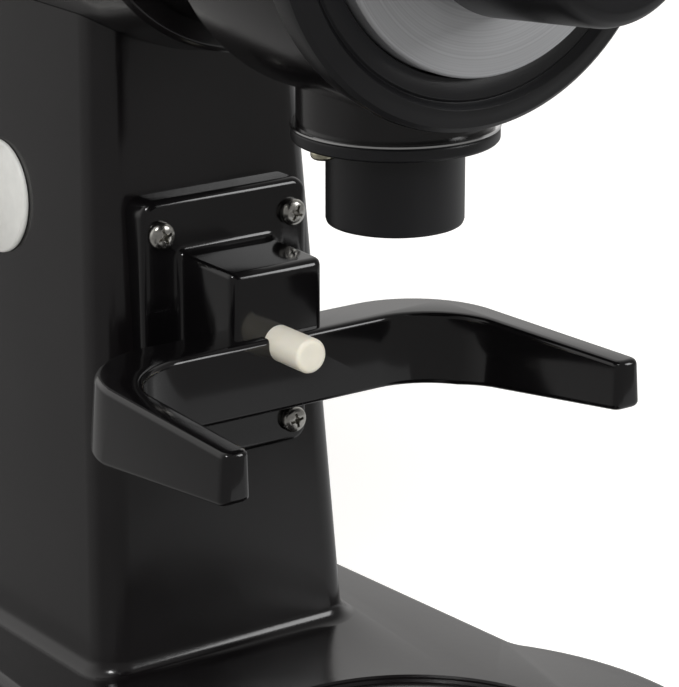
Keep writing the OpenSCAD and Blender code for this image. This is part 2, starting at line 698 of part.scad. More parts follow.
module fork_bracket() {
    color("#101011") difference() {
        union() {
            // plate
            translate([0, plate_y, 0]) rotate([-90, 0, 0]) mirror([0, 1, 0]) linear_extrude(16)
                round_rect(plate_half_w, plate_low, plate_top, plate_corner_r);
            // boss around the pin
            translate([-boss_half_w, -boss_ahead, fork_low]) cube([2 * boss_half_w,
                plate_y + boss_ahead + 1, boss_top - fork_low]);
            intersection() {
                translate([0, 0, fork_low]) linear_extrude(fork_top - fork_low) difference() {
                    union() {
                        translate([-fork_out_cx, -fork_out_r + fork_behind])
                            square([2 * fork_out_cx, fork_out_r]);
                        for (s = [-1, 1]) {
                            translate([s * fork_out_cx, fork_behind - fork_out_r]) circle(fork_out_r);
                            polygon([[s * 20, fork_behind - fork_out_r],
                                [s * fork_half_w, fork_behind - fork_out_r],
                                [s * fork_tip_half_w, -fork_ahead + 2],
                                [s * (fork_tip_half_w - 2), -fork_ahead], [s * 20, -fork_ahead]]);
                        }
                    }
                    translate([-fork_in_cx, -fork_ahead - 5])
                        square([2 * fork_in_cx, fork_ahead + 5 - fork_in_ahead]);
                    for (s = [-1, 1]) {
                        translate([s * fork_in_cx, -fork_in_ahead - fork_in_r]) circle(fork_in_r);
                        polygon([[0, -fork_in_ahead - fork_in_r],
                            [s * (fork_in_cx + fork_in_r), -fork_in_ahead - fork_in_r],
                            [s * (fork_tip_half_w - fork_arm_w), -fork_ahead - 5], [0, -fork_ahead - 5]]);
                    }
                }
                translate([-80, 0, 0]) rotate([90, 0, 90]) linear_extrude(160) polygon([
                    [40, fork_top + 1], [-fork_ahead - 1, fork_top + 1], [-fork_ahead - 1, fork_tip_low],
                    [-12, fork_low - 0.01], [40, fork_low - 0.01]]);
            }
        }
        // back of the plate follows the leaning column
        translate([-60, plate_y + col_front_low - seat_gap, base_top])
            rotate([-atan(col_front_slope), 0, 0]) translate([0, 0, -60]) cube([120, 60, 260]);
        // pin bore, and the wider pocket of its collar behind
        cyl_y(pin_r + run_gap, -40, plate_y + 20, 0, pin_z);
        cyl_y(collar_r + 0.4, plate_y - 12, plate_y + 20, 0, pin_z);
        for (x = [-screw_half_x, screw_half_x]) for (z = [screw_low_z, screw_high_z])
            cyl_y(2.15, plate_y - 1, plate_y + 20, x, z);
    }
}

module bracket_screws() {
    color("#c9cacb") for (x = [-screw_half_x, screw_half_x]) for (z = [screw_low_z, screw_high_z])
        translate([x, plate_y - seat_gap, z]) rotate([90, 0, 0]) cross_screw(screw_head_r, 2.6, 1.7, 22);
}

module push_pin() {
    yc = plate_y - 12;
    color("#e4dfcf") translate([0, 0, pin_z]) rotate([-90, 0, 0]) rotate_extrude() polygon([
        [0, -pin_ahead], [pin_r - 0.9, -pin_ahead], [pin_r, -pin_ahead + 0.9], [pin_r, yc + 0.1],
        [collar_r, yc + 0.1], [collar_r, yc + 2.6], [stem_r, yc + 2.6], [stem_r, lever_y - 2.4],
        [0.5, lever_y - 0.4], [0, lever_y - 0.4]]);
}

module return_spring() {
    // coils as separate rings, closed up by the travel when the pin goes in
    first = plate_y - 12 + 2.6 + spring_wire_r + seat_gap;
    last = front_at_pin - col_front_slope * collar_r - spring_wire_r - seat_gap;
    n = 6;
    color("#c9cacb") for (i = [0:n - 1]) translate([0, first + i * (last - first) / (n - 1), pin_z])
        rotate([-90, 0, 0]) rotate_extrude() translate([collar_r - 1.2, 0]) circle(spring_wire_r, $fn = 16);
}

module switch_body() {
    color("#2e2e30") difference() {
        union() {
            translate([-3.2, lever_y + 5.5, pin_z - 13]) cube([6.4, 10, 20]);
            // pivot ears of the lever
            for (x = [-3.2, 2]) translate([x, lever_y, pivot_z - 1.8]) cube([1.2, 6, 3.6]);
            // bracket tab that holds the switch on the column's inside
            translate([-3.2, lever_y + 13.5, pin_z - 23]) cube([6.4, 2, 12]);
        }
        for (z = [pin_z - 8, pin_z + 2]) translate([-10, lever_y + 11, z]) rotate([0, 90, 0])
            cylinder(h = 20, r = 1.3);
    }
}

module switch_lever() {
    color("#c3c5c8") union() {
        translate([-1.9, lever_y, pivot_z]) cube([3.8, 0.6, 12]);
        translate([-1.9, lever_y + 0.9, pivot_z]) rotate([0, 90, 0]) cylinder(h = 3.8, r = 0.9);
    }
}

module switch_screws() {
    color("#b9bbbd") for (z = [pin_z - 8, pin_z + 2]) translate([-3.2 - seat_gap, lever_y + 11, z])
        rotate([0, -90, 0]) cross_screw(2.2, 1.2, 1.2, 8);
}

module hopper_collar() {
    color("#1d1d1f") translate([0, -hopper_ahead, 0]) difference() {
        union() {
            translate([0, 0, collar_top - 16]) cylinder(h = 16, r = collar_ring_r);
            translate([0, 0, collar_top - 0.01]) difference() {
                cylinder(h = 5, r = collar_ring_r);
                translate([0, 0, -1]) cylinder(h = 9, r = collar_ring_r - 3);
            }
        }
        translate([0, 0, collar_top - 30]) cylinder(h = 60, r = throat_r - 2);
        // saddle over the feed body, and seat of its pedestal
        translate([0, hopper_ahead, 0]) {
            cyl_y(feed_r + seat_gap, -60, 40);
            cyl_y(chamber_r + seat_gap, -60, -chamber_step + seat_gap);
            cyl_y(housing_r + seat_gap, housing_front - 2 * seat_gap, 60);
        }
        translate([0, 0, axis_z]) cylinder(h = feed_r + 2 + seat_gap, r = throat_r + 1.5 + seat_gap);
        // slot of the shutter
        translate([-throat_r - 5, -throat_r - 3.4, shutter_z - 0.2])
            cube([80, 2 * throat_r + 6.8, 2.4]);
    }
}

module shutter() {
    color("#2a2a2c") union() {
        translate([-throat_r - 4, -hopper_ahead - throat_r - 3, shutter_z]) cube([collar_ring_r + throat_r + 8,
            2 * throat_r + 6, 2]);
        translate([collar_ring_r + 2, -hopper_ahead - 10, shutter_z - 3]) cube([3, 20, 8]);
    }
}

module hopper() {
    r0 = collar_ring_r - 3 - seat_gap;
    w = hopper_wall;
    color("#9aa2a8", 0.45) translate([0, -hopper_ahead, 0]) rotate_extrude() polygon([
        [throat_r - 2, collar_top + seat_gap], [r0, collar_top + seat_gap], [r0, collar_top + 7],
        [hopper_r, collar_top + 32], [hopper_r, hopper_top], [hopper_r - w, hopper_top],
        [hopper_r - w, collar_top + 33.2], [throat_r, collar_top + 6], [throat_r - 2, collar_top + 6]]);
}

module hopper_lid() {
    color("#232325") translate([0, -hopper_ahead, hopper_top + seat_gap]) rotate_extrude() polygon([
        [0, 2], [hopper_r - hopper_wall - 3.6, 2], [hopper_r - hopper_wall - 3.6, -6],
        [hopper_r - hopper_wall - free_gap, -6], [hopper_r - hopper_wall - free_gap, 0],
        [hopper_r + 1.5, 0], [hopper_r + 1.5, 2.4], [hopper_r - 8, lid_h * 0.62], [14, lid_h - 1],
        [12, lid_h], [0, lid_h]]);
}

module rocker_frame() {
    color("#161617") difference() {
        union() {
            translate([-12, col_behind + seat_gap, rocker_z - 7.5]) cube([24, 1.6, 15]);
            translate([-10.5, col_behind - 12, rocker_z - 6]) cube([21, 12.5, 12]);
        }
        translate([-9, col_behind - 8, rocker_z - 4.7]) cube([18, 30, 9.4]);
        translate([-9.9, col_behind - 1.5, rocker_z]) rotate([0, 90, 0])
            cylinder(h = 19.8, r = 1.2 + run_gap);
    }
}

module rocker() {
    color("#2c2c2e") translate([-8.6, col_behind - 1.5, rocker_z]) rotate([90, 0, 90]) {
        linear_extrude(17.2) polygon([[0, -3.6], [4.6, -3.3], [3.1, 0], [3.1, 3.6], [-3.6, 2.2],
            [-4.4, 0], [-3.6, -2.2]]);
        // pivots at both ends
        translate([0, 0, -1]) cylinder(h = 19.2, r = 1.2);
    }
}

module mains_inlet() {
    color("#121213") difference() {
        union() {
            translate([-25, col_behind + seat_gap, inlet_z - 11.5]) cube([50, 2.6, 23]);
            translate([-13.7, col_behind - 18, inlet_z - 9.7]) cube([27.4, 18.5, 19.4]);
        }
        translate([-12, col_behind - 13, inlet_z - 8]) cube([24, 40, 16]);
        for (x = [-20, 20]) cyl_y(1.8, col_behind - 1, col_behind + 10, x, inlet_z);
        for (p = [[-7, -2], [0, 2], [7, -2]]) translate([p[0] - 1.05, col_behind - 19, inlet_z + p[1] - 2.05])
            cube([2.1, 30, 4.1]);
    }
}

module inlet_screws() {
    color("#b9bbbd") for (x = [-20, 20]) translate([x, col_behind + 2.7 + 2 * seat_gap, inlet_z])
        rotate([-90, 0, 0]) cross_screw(2.8, 1.5, 1.5, 10);
}

module inlet_pins() {
    color("#c9b37a") for (p = [[-7, -2], [0, 2], [7, -2]])
        translate([p[0] - 1, col_behind - 24, inlet_z + p[1] - 2]) cube([2, 22, 4]);
}

module capacitor() {
    color("#b9bbbd") translate([0, cap_behind, cap_low]) {
        cylinder(h = cap_len, r = cap_r);
        translate([0, 0, cap_len - 0.01]) cylinder(h = 4, r = cap_r - 4);
    }
}

module capacitor_clip() {
    // band round the capacitor with a lug to each side wall of the column
    color("#8b8d90") translate([0, cap_behind, clip_z]) difference() {
        union() {
            cylinder(h = 12, r = cap_r + 1.6);
            translate([-clip_half, -1, 0]) cube([2 * clip_half, 2, 12]);
        }
        translate([0, 0, -30]) cylinder(h = 90, r = cap_r + seat_gap);
    }
}

module terminal_block() {
    color("#d9d4c4") translate([-15, 46, base_top - base_wall - 12]) difference() {
        cube([30, 12, 11.8]);
        for (x = [5, 15, 25]) translate([x, -1, 6]) rotate([-90, 0, 0]) cylinder(h = 20, r = 1.6);
    }
}

body();
base_cover();
cover_screws();
feet();
foot_screws();
badge();
motor_housing();
housing_screws();
stator_core();
windings();
rotor_core();
shaft();
front_bearing();
rear_bearing();
fan();
back_cover();
back_cover_screws();
grinding_chamber();
chamber_screws();
ring_burr();
cone_burr();
auger();
burr_holder();
bezel_ring();
dial_disc();
knob();
knob_spindle();
detent_ball();
detent_spring();
chute();
chute_gasket();
chute_screws();
fork_bracket();
bracket_screws();
push_pin();
return_spring();
switch_body();
switch_lever();
switch_screws();
hopper_collar();
hopper();
hopper_lid();
shutter();
rocker_frame();
rocker();
mains_inlet();
inlet_pins();
inlet_screws();
capacitor();
capacitor_clip();
terminal_block();
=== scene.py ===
"""Looks of an upright coffee grinder, built around its fixed frame."""

import json
import math

import bpy
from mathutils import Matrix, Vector

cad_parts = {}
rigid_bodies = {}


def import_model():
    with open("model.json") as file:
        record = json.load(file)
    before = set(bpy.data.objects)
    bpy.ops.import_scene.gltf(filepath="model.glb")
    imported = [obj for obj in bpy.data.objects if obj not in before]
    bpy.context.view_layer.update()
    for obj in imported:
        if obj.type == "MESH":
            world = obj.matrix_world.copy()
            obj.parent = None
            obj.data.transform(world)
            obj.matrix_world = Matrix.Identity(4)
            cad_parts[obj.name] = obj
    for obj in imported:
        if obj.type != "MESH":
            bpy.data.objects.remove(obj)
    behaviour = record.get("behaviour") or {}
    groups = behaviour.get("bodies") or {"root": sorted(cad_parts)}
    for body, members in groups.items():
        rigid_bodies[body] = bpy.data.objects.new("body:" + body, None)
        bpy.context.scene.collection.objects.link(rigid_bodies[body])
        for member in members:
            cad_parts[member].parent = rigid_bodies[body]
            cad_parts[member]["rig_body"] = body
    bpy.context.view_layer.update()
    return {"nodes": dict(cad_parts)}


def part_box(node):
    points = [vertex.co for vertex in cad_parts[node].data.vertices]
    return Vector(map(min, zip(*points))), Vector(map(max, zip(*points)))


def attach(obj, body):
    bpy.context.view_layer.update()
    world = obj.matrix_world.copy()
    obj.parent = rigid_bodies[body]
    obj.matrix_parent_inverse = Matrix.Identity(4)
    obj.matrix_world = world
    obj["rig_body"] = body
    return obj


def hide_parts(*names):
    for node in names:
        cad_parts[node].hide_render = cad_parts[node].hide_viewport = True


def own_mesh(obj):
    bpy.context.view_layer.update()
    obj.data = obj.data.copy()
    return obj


bl_info = {
    "name": "Coffee grinder",
    "version": (1, 0, 0),
    "blender": (4, 5, 0),
    "location": "3D View > Sidebar > Grinder",
    "description": "Models the finished surfaces of a coffee grinder with a fork bracket",
    "category": "Object",
}

MM = 0.001
FRONT = Vector((0, -1, 0))
UP = Vector((0, 0, 1))
DOWN = Vector((0, 0, -1))

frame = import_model()


# ---------------------------------------------------------------- sizes from the frame

def middle(node):
    """The middle of a frame node's box."""
    low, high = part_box(node)
    return (low + high) / 2


def half_width(node):
    """Half a frame node's width along X."""
    low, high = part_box(node)
    return (high.x - low.x) / 2


HEAD_AXIS = middle("bezel_ring").z
CHUTE_AXIS = middle("chute").y
HOPPER_AXIS = middle("hopper").y
PIN_AXIS = middle("push_pin").z
STAND_LOW, STAND_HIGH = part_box("body")


# ---------------------------------------------------------------- colours

def from_hex(text):
    """Linear red, green, blue of an sRGB hex colour."""
    parts = [int(text[i:i + 2], 16) / 255 for i in (1, 3, 5)]
    return tuple(c / 12.92 if c <= 0.04045 else ((c + 0.055) / 1.055) ** 2.4 for c in parts)


def colour(name, default, about):
    return bpy.props.FloatVectorProperty(name=name, description=about, default=from_hex(default),
                                         subtype="COLOR", size=3, min=0, max=1)


def length(name, default_mm, about):
    return bpy.props.FloatProperty(name=name, description=about, default=default_mm * MM,
                                   unit="LENGTH", min=0)


class GrinderColours(bpy.types.PropertyGroup):
    """Colours a user would change."""
    enamel: colour("Enamel", "#0E0C0D", "Stoved enamel on the cast stand, chamber and motor housing")
    moulding: colour("Bracket", "#0A090A", "Gloss moulding of the fork bracket")
    satin_black: colour("Satin black", "#111113", "Moulded knob, bezel, chute and lid")
    dial: colour("Dial", "#E8E9EB", "Turned dial disc")
    nylon: colour("Push pin", "#EFEADB", "Natural nylon of the push pin")
    plating: colour("Plating", "#D8D6D0", "Nickel plating of the screws")
    badge: colour("Badge", "#D2D2CE", "Plain badge on the column's side")
    hopper: colour("Hopper", "#8C9296", "Smoke tinted clear hopper")
    floor: colour("Floor", "#F4F3F1", "Studio floor")


class GrinderSizes(bpy.types.PropertyGroup):
    """Sizes of the finish that the frame doesn't hold."""
    column_fillet: length("Column fillet", 4, "Radius of the fillet between the column and the base")
    base_round: length("Base edge", 3, "Radius of the round along the base's top edge")
    moulding_round: length("Bracket edge", 1.5, "Radius of the bracket's rounded edges")
    small_round: length("Small edge", 0.4, "Radius of the broken edges on small pieces")


# ---------------------------------------------------------------- materials

def add(tree, kind, settings=None, **links):
    """Adds a node, sets its properties and input values, and links the inputs that are sockets."""
    made = tree.nodes.new(kind)
    for key, value in (settings or {}).items():
        if isinstance(key, str) and hasattr(made, key):
            setattr(made, key, value)
        else:
            made.inputs[key].default_value = value
    for key, value in links.items():
        socket = made.inputs[int(key[1:])] if key[0] == "i" and key[1:].isdigit() else made.inputs[
            key.replace("_", " ")]
        if isinstance(value, bpy.types.NodeSocket):
            tree.links.new(value, socket)
        else:
            socket.default_value = value
    return made


def start_material(name):
    """A new material with an empty tree, its output and its Object coordinates."""
    material = bpy.data.materials.new(name)
    material.use_nodes = True
    tree = material.node_tree
    tree.nodes.clear()
    coords = add(tree, "ShaderNodeTexCoord").outputs["Object"]
    return material, tree, coords


def finish_material(material, tree, shader):
    add(tree, "ShaderNodeOutputMaterial", Surface=shader.outputs[0])
    return material


def coated(material, tree, settings, **links):
    """Ends a material with one Principled shader."""
    return finish_material(material, tree, add(tree, "ShaderNodeBsdfPrincipled", settings, **links))


def ramp(tree, factor, low, high, at=(0.3, 0.7)):
    """A colour ramp between two linear colours, driven by factor."""
    made = add(tree, "ShaderNodeValToRGB", Fac=factor)
    made.color_ramp.elements[0].position = at[0]
    made.color_ramp.elements[1].position = at[1]
    made.color_ramp.elements[0].color = (*low, 1)
    made.color_ramp.elements[1].color = (*high, 1)
    return made.outputs["Color"]


def spread(tree, factor, low, high):
    """Maps a 0 to 1 factor onto low to high."""
    return add(tree, "ShaderNodeMapRange", {3: low, 4: high}, Value=factor).outputs[0]


def noise(tree, coords, size, detail):
    """Noise whose features are about size millimetres across."""
    return add(tree, "ShaderNodeTexNoise", {"Scale": per_mm(size), "Detail": detail},
               Vector=coords).outputs[0]


def relief(tree, height, strength, distance):
    """A normal raised by height, distance in metres."""
    return add(tree, "ShaderNodeBump", {"Strength": strength, "Distance": distance},
               Height=height).outputs[0]


def shade(rgb, k):
    return tuple(min(1, c * k) for c in rgb)


def per_mm(size):
    """Noise scale whose features are about size millimetres across."""
    return 1 / (size * MM)


def stoved_enamel(name, base):
    """Stoved enamel on a metal casting: deep gloss with fine orange peel and dust nibs."""
    material, tree, coords = start_material(name)
    peel = noise(tree, coords, 2.2, 2.0)
    nibs = add(tree, "ShaderNodeTexVoronoi", {"Scale": per_mm(1.6)}, Vector=coords)
    cloud = noise(tree, coords, 24, 4.0)
    nib_mask = add(tree, "ShaderNodeMapRange", {1: 0.0, 2: 0.16, 3: 1.0, 4: 0.0},
                   Value=nibs.outputs["Distance"])
    height = add(tree, "ShaderNodeMath", {"operation": "MULTIPLY_ADD", 1: 0.35},
                 i0=nib_mask.outputs[0], i2=peel)
    bump = relief(tree, height.outputs[0], 0.16, 0.00012)
    tint = ramp(tree, cloud, shade(base, 0.8), shade(base, 1.25))
    rough = spread(tree, cloud, 0.16, 0.27)
    return coated(material, tree, {"IOR": 1.5, "Coat Weight": 0.35, "Coat Roughness": 0.12},
                  Base_Color=tint, Roughness=rough, Normal=bump)


def gloss_moulding(name, base):
    """Gloss black ABS from a polished mould: near mirror with a very slight flow waviness."""
    material, tree, coords = start_material(name)
    flow = noise(tree, coords, 14, 2.0)
    dust = noise(tree, coords, 0.5, 3.0)
    bump = relief(tree, flow, 0.12, 0.0002)
    rough = spread(tree, dust, 0.07, 0.15)
    tint = ramp(tree, flow, shade(base, 0.85), shade(base, 1.15))
    return coated(material, tree, {"IOR": 1.58}, Base_Color=tint, Roughness=rough, Normal=bump)


def satin_moulding(name, base, grain=0.35):
    """Satin black moulded plastic: spark-eroded grain breaks the highlight into a soft band."""
    material, tree, coords = start_material(name)
    texture = noise(tree, coords, grain, 2.0)
    wear = noise(tree, coords, 18, 4.0)
    bump = relief(tree, texture, 0.25, 0.00005)
    tint = ramp(tree, wear, shade(base, 0.85), shade(base, 1.2))
    rough = spread(tree, wear, 0.3, 0.42)
    return coated(material, tree, {"IOR": 1.5}, Base_Color=tint, Roughness=rough, Normal=bump)


def turned_metal(name, base, centre, axis, pitch=0.5, low=0.22, high=0.36):
    """Metal faced on a lathe: fine rings round the turning axis that stretch the highlight."""
    material, tree, coords = start_material(name)
    place = add(tree, "ShaderNodeMapping", {"vector_type": "POINT"}, Vector=coords)
    place.inputs["Location"].default_value = [-c for c in centre]
    flat = add(tree, "ShaderNodeVectorMath", {"operation": "MULTIPLY", 1: [1 - abs(a) for a in axis]},
               i0=place.outputs[0])
    radius = add(tree, "ShaderNodeVectorMath", {"operation": "LENGTH"}, i0=flat.outputs[0])
    rings = add(tree, "ShaderNodeTexNoise", {"noise_dimensions": "1D", "Scale": per_mm(pitch),
                "Detail": 3.0}, W=radius.outputs["Value"])
    smudge = noise(tree, coords, 15, 3.0)
    bump = relief(tree, rings.outputs[0], 0.2, 0.00003)
    tint = ramp(tree, rings.outputs[0], shade(base, 0.92), shade(base, 1.05))
    rough = spread(tree, smudge, low, high)
    return coated(material, tree, {"Metallic": 1.0}, Base_Color=tint, Roughness=rough, Normal=bump)


def plated_steel(name, base):
    """Nickel plated steel: bright, with a faint hammered unevenness from the plating bath."""
    material, tree, coords = start_material(name)
    uneven = noise(tree, coords, 0.9, 3.0)
    bump = relief(tree, uneven, 0.3, 0.00006)
    tint = ramp(tree, uneven, shade(base, 0.75), base)
    rough = spread(tree, uneven, 0.14, 0.3)
    return coated(material, tree, {"Metallic": 1.0}, Base_Color=tint, Roughness=rough, Normal=bump)


def ground_steel(name, base):
    """Ground tool steel: fine straight grinding lines along the piece's length."""
    material, tree, coords = start_material(name)
    place = add(tree, "ShaderNodeMapping", {"Scale": (1, 0.06, 1)}, Vector=coords)
    lines = noise(tree, place.outputs[0], 0.5, 3.0)
    bump = relief(tree, lines, 0.25, 0.00004)
    tint = ramp(tree, lines, shade(base, 0.8), base)
    rough = spread(tree, lines, 0.22, 0.4)
    return coated(material, tree, {"Metallic": 1.0}, Base_Color=tint, Roughness=rough, Normal=bump)


def natural_nylon(name, base):
    """Turned natural nylon: ivory, slightly see-through at the surface, with soft tool rings."""
    material, tree, coords = start_material(name)
    place = add(tree, "ShaderNodeMapping", {"Scale": (0.05, 1, 0.05)}, Vector=coords)
    rings = noise(tree, place.outputs[0], 0.6, 2.0)
    cloud = noise(tree, coords, 5, 3.0)
    bump = relief(tree, rings, 0.12, 0.00005)
    tint = ramp(tree, cloud, shade(base, 0.93), base)
    rough = spread(tree, cloud, 0.38, 0.5)
    return coated(material, tree, {"IOR": 1.53, "Subsurface Weight": 0.25, "Subsurface Scale": 1.0,
                                   "Subsurface Radius": (0.0012, 0.001, 0.0007)},
                  Base_Color=tint, Roughness=rough, Normal=bump)


def plain_plastic(name, base, low=0.35, high=0.5, size=3):
    """Plain moulded plastic: even colour with a faint cloudiness in its gloss."""
    material, tree, coords = start_material(name)
    cloud = noise(tree, coords, size, 3.0)
    bump = relief(tree, cloud, 0.08, 0.00005)
    tint = ramp(tree, cloud, shade(base, 0.95), shade(base, 1.02))
    rough = spread(tree, cloud, low, high)
    return coated(material, tree, {"IOR": 1.48}, Base_Color=tint, Roughness=rough, Normal=bump)


def smoke_clear(name, base):
    """Smoke tinted clear polycarbonate: see-through, with light scuffing on its surface."""
    material, tree, coords = start_material(name)
    scuff = noise(tree, coords, 6, 5.0)
    rough = spread(tree, scuff, 0.02, 0.1)
    tint = ramp(tree, scuff, shade(base, 0.97), base)
    return coated(material, tree, {"IOR": 1.45, "Transmission Weight": 0.9}, Base_Color=tint,
                  Roughness=rough)


def moulded_rubber(name, base):
    """Moulded rubber: matt, with a fine open grain and a little bloom."""
    material, tree, coords = start_material(name)
    grain = noise(tree, coords, 0.4, 3.0)
    bump = relief(tree, grain, 0.3, 0.00008)
    tint = ramp(tree, grain, shade(base, 0.8), shade(base, 1.3))
    rough = spread(tree, grain, 0.65, 0.85)
    return coated(material, tree, {"IOR": 1.52}, Base_Color=tint, Roughness=rough, Normal=bump)


def varnished_copper(name, base):
    """Varnished copper winding: wire strands 0.8 mm apart, shown as fine ribs."""
    material, tree, coords = start_material(name)
    strands = add(tree, "ShaderNodeTexWave", {"Scale": per_mm(1.6) / 6.28, "Distortion": 1.5,
                  "Detail": 2.0, "bands_direction": "Y"}, Vector=coords)
    bump = relief(tree, strands.outputs["Fac"], 0.5, 0.0003)
    tint = ramp(tree, strands.outputs["Fac"], shade(base, 0.45), base)
    return coated(material, tree, {"Metallic": 1.0, "Roughness": 0.32}, Base_Color=tint, Normal=bump)


def stacked_sheets(name, base):
    """Stacked electrical sheet: 0.5 mm laminations drawn as 1 mm lines so that they show."""
    material, tree, coords = start_material(name)
    sheets = add(tree, "ShaderNodeTexWave", {"Scale": per_mm(1) / 6.28, "bands_direction": "Y"},
                 Vector=coords)
    bump = relief(tree, sheets.outputs["Fac"], 0.4, 0.0002)
    tint = ramp(tree, sheets.outputs["Fac"], shade(base, 0.6), base)
    return coated(material, tree, {"Metallic": 1.0, "Roughness": 0.45}, Base_Color=tint, Normal=bump)


_made = {}


def finish(name):
    """The material of that name, made when it is first asked for."""
    if name in _made:
        return _made[name]
    c = bpy.context.scene.grinder_colours
    head = Vector((0, 0, HEAD_AXIS))
    makers = {
        "stoved_enamel": lambda n: stoved_enamel(n, c.enamel),
        "gloss_moulding": lambda n: gloss_moulding(n, c.moulding),
        "satin_moulding": lambda n: satin_moulding(n, c.satin_black),
        "turned_dial": lambda n: turned_metal(n, c.dial, head, FRONT, 0.5, 0.52, 0.66),
        "machined_aluminium": lambda n: turned_metal(n, from_hex("#B9BBBD"), head, FRONT, 0.9, 0.3,
                                                     0.45),
        "polished_ring": lambda n: turned_metal(n, from_hex("#E2E2E2"), Vector((0, CHUTE_AXIS, 0)),
                                                UP, 0.4, 0.12, 0.2),
        "nickel_plating": lambda n: plated_steel(n, c.plating),
        "passivated_zinc": lambda n: plated_steel(n, from_hex("#DDD8C0")),
        "ground_steel": lambda n: ground_steel(n, from_hex("#A9ABAE")),
        "natural_nylon": lambda n: natural_nylon(n, c.nylon),
        "badge_enamel": lambda n: plain_plastic(n, c.badge, 0.25, 0.35),
        "cream_plastic": lambda n: plain_plastic(n, from_hex("#D6D0BB")),
        "dark_plastic": lambda n: plain_plastic(n, from_hex("#232325")),
        "smoke_polycarbonate": lambda n: smoke_clear(n, c.hopper),
        "moulded_rubber": lambda n: moulded_rubber(n, from_hex("#121212")),
        "copper_winding": lambda n: varnished_copper(n, from_hex("#B5622F")),
        "lamination_stack": lambda n: stacked_sheets(n, from_hex("#8A8C8F")),
        "bright_brass": lambda n: plated_steel(n, from_hex("#C9A85C")),
        "painted_sheet": lambda n: satin_moulding(n, from_hex("#1B1B1D"), 0.6),
    }
    _made[name] = makers[name](name)
    return _made[name]


# ---------------------------------------------------------------- modelling

def clear_selection():
    if bpy.context.mode != "OBJECT":
        bpy.ops.object.mode_set(mode="OBJECT")
    bpy.ops.object.select_all(action="DESELECT")


def only(piece):
    """Makes piece the one selected and active object."""
    clear_selection()
    piece.select_set(True)
    bpy.context.view_layer.objects.active = piece
    return piece


def open_whole(piece):
    """Opens the piece for editing, with all of it selected."""
    only(piece)
    bpy.ops.object.mode_set(mode="EDIT")
    bpy.ops.mesh.select_all(action="SELECT")


def close_up():
    bpy.ops.object.mode_set(mode="OBJECT")


def turn_about(piece, angle, axis, centre, shift=(0, 0, 0)):
    """Turns the piece's mesh about an axis through centre, then shifts it."""
    open_whole(piece)
    bpy.ops.transform.rotate(value=angle, orient_axis=axis, orient_type="GLOBAL",
                             center_override=centre)
    bpy.ops.transform.translate(value=shift)
    close_up()
    return piece


def settle(piece):
    """Puts the piece's place into its mesh."""
    only(piece)
    bpy.ops.object.transform_apply(location=True, rotation=True, scale=True)
    return piece


def add_modifier(piece, kind, **settings):
    """Adds a modifier with its settings and applies it."""
    only(piece)
    made = piece.modifiers.new(kind.title(), kind)
    for key, value in settings.items():
        setattr(made, key, value)
    bpy.ops.object.modifier_apply(modifier=made.name)
    return piece


def round_edges(piece, radius, segments=3, angle=30):
    return add_modifier(piece, "BEVEL", width=radius, segments=segments, limit_method="ANGLE",
                        angle_limit=math.radians(angle), use_clamp_overlap=True,
                        miter_outer="MITER_ARC")


def smooth(piece, angle=40):
    only(piece)
    bpy.ops.object.shade_smooth_by_angle(angle=math.radians(angle))
    return piece


def mend(piece):
    """Merges doubles and turns every face outwards."""
    open_whole(piece)
    bpy.ops.mesh.remove_doubles(threshold=0.000002)
    bpy.ops.mesh.normals_make_consistent(inside=False)
    close_up()
    return piece


def turned(name, rings, centre, axis, sides=96, closed=False):
    """A turned piece: one circle extruded from ring to ring, each ring being (radius, distance
    along the axis in metres). closed joins the last ring to the first, otherwise both are capped."""
    clear_selection()
    axis = Vector(axis)
    centre = Vector(centre)
    radius, along = rings[0]
    bpy.ops.mesh.primitive_circle_add(
        vertices=sides, radius=radius, location=centre + axis * along,
        rotation=axis.to_track_quat("Z", "Y").to_euler())
    piece = bpy.context.object
    piece.name = name
    bpy.ops.object.mode_set(mode="EDIT")
    bpy.ops.mesh.select_mode(type="VERT")
    bpy.ops.mesh.select_all(action="SELECT")
    for next_radius, next_along in rings[1:] + ([rings[0]] if closed else []):
        bpy.ops.mesh.extrude_edges_move(
            TRANSFORM_OT_translate={"value": axis * (next_along - along), "orient_type": "GLOBAL"})
        k = next_radius / radius
        bpy.ops.transform.resize(value=(k, k, k), center_override=centre + axis * next_along)
        radius, along = next_radius, next_along
    if not closed:
        bpy.ops.mesh.select_all(action="SELECT")
        bpy.ops.mesh.fill_holes(sides=0)
    bpy.ops.object.mode_set(mode="OBJECT")
    return mend(settle(piece))


def slab(name, outline, low, high):
    """A prism over an outline of (x, y) points: a circle of as many corners, put in place, filled
    and extruded upwards."""
    clear_selection()
    bpy.ops.mesh.primitive_circle_add(vertices=len(outline), radius=1)
    piece = bpy.context.object
    piece.name = name
    for vertex, (x, y) in zip(piece.data.vertices, outline):
        vertex.co = (x, y, low)
    bpy.ops.object.mode_set(mode="EDIT")
    bpy.ops.mesh.select_all(action="SELECT")
    bpy.ops.mesh.edge_face_add()
    bpy.ops.mesh.extrude_region_move(
        TRANSFORM_OT_translate={"value": (0, 0, high - low), "orient_type": "GLOBAL"})
    bpy.ops.object.mode_set(mode="OBJECT")
    return mend(piece)


def block(name, low, high):
    """A box between two corners."""
    clear_selection()
    low, high = Vector(low), Vector(high)
    bpy.ops.mesh.primitive_cube_add(size=1, location=(low + high) / 2, scale=high - low)
    piece = bpy.context.object
    piece.name = name
    return settle(piece)


def combine(piece, tool, operation):
    """Cuts, joins or keeps what piece shares with tool, then removes tool."""
    add_modifier(piece, "BOOLEAN", operation=operation, object=tool, solver="EXACT")
    bpy.data.objects.remove(tool)
    return piece


def merge(name, pieces):
    """Joins several meshes into one object."""
    clear_selection()
    for piece in pieces:
        piece.select_set(True)
    bpy.context.view_layer.objects.active = pieces[0]
    if len(pieces) > 1:
        bpy.ops.object.join()
    pieces[0].name = name
    return pieces[0]


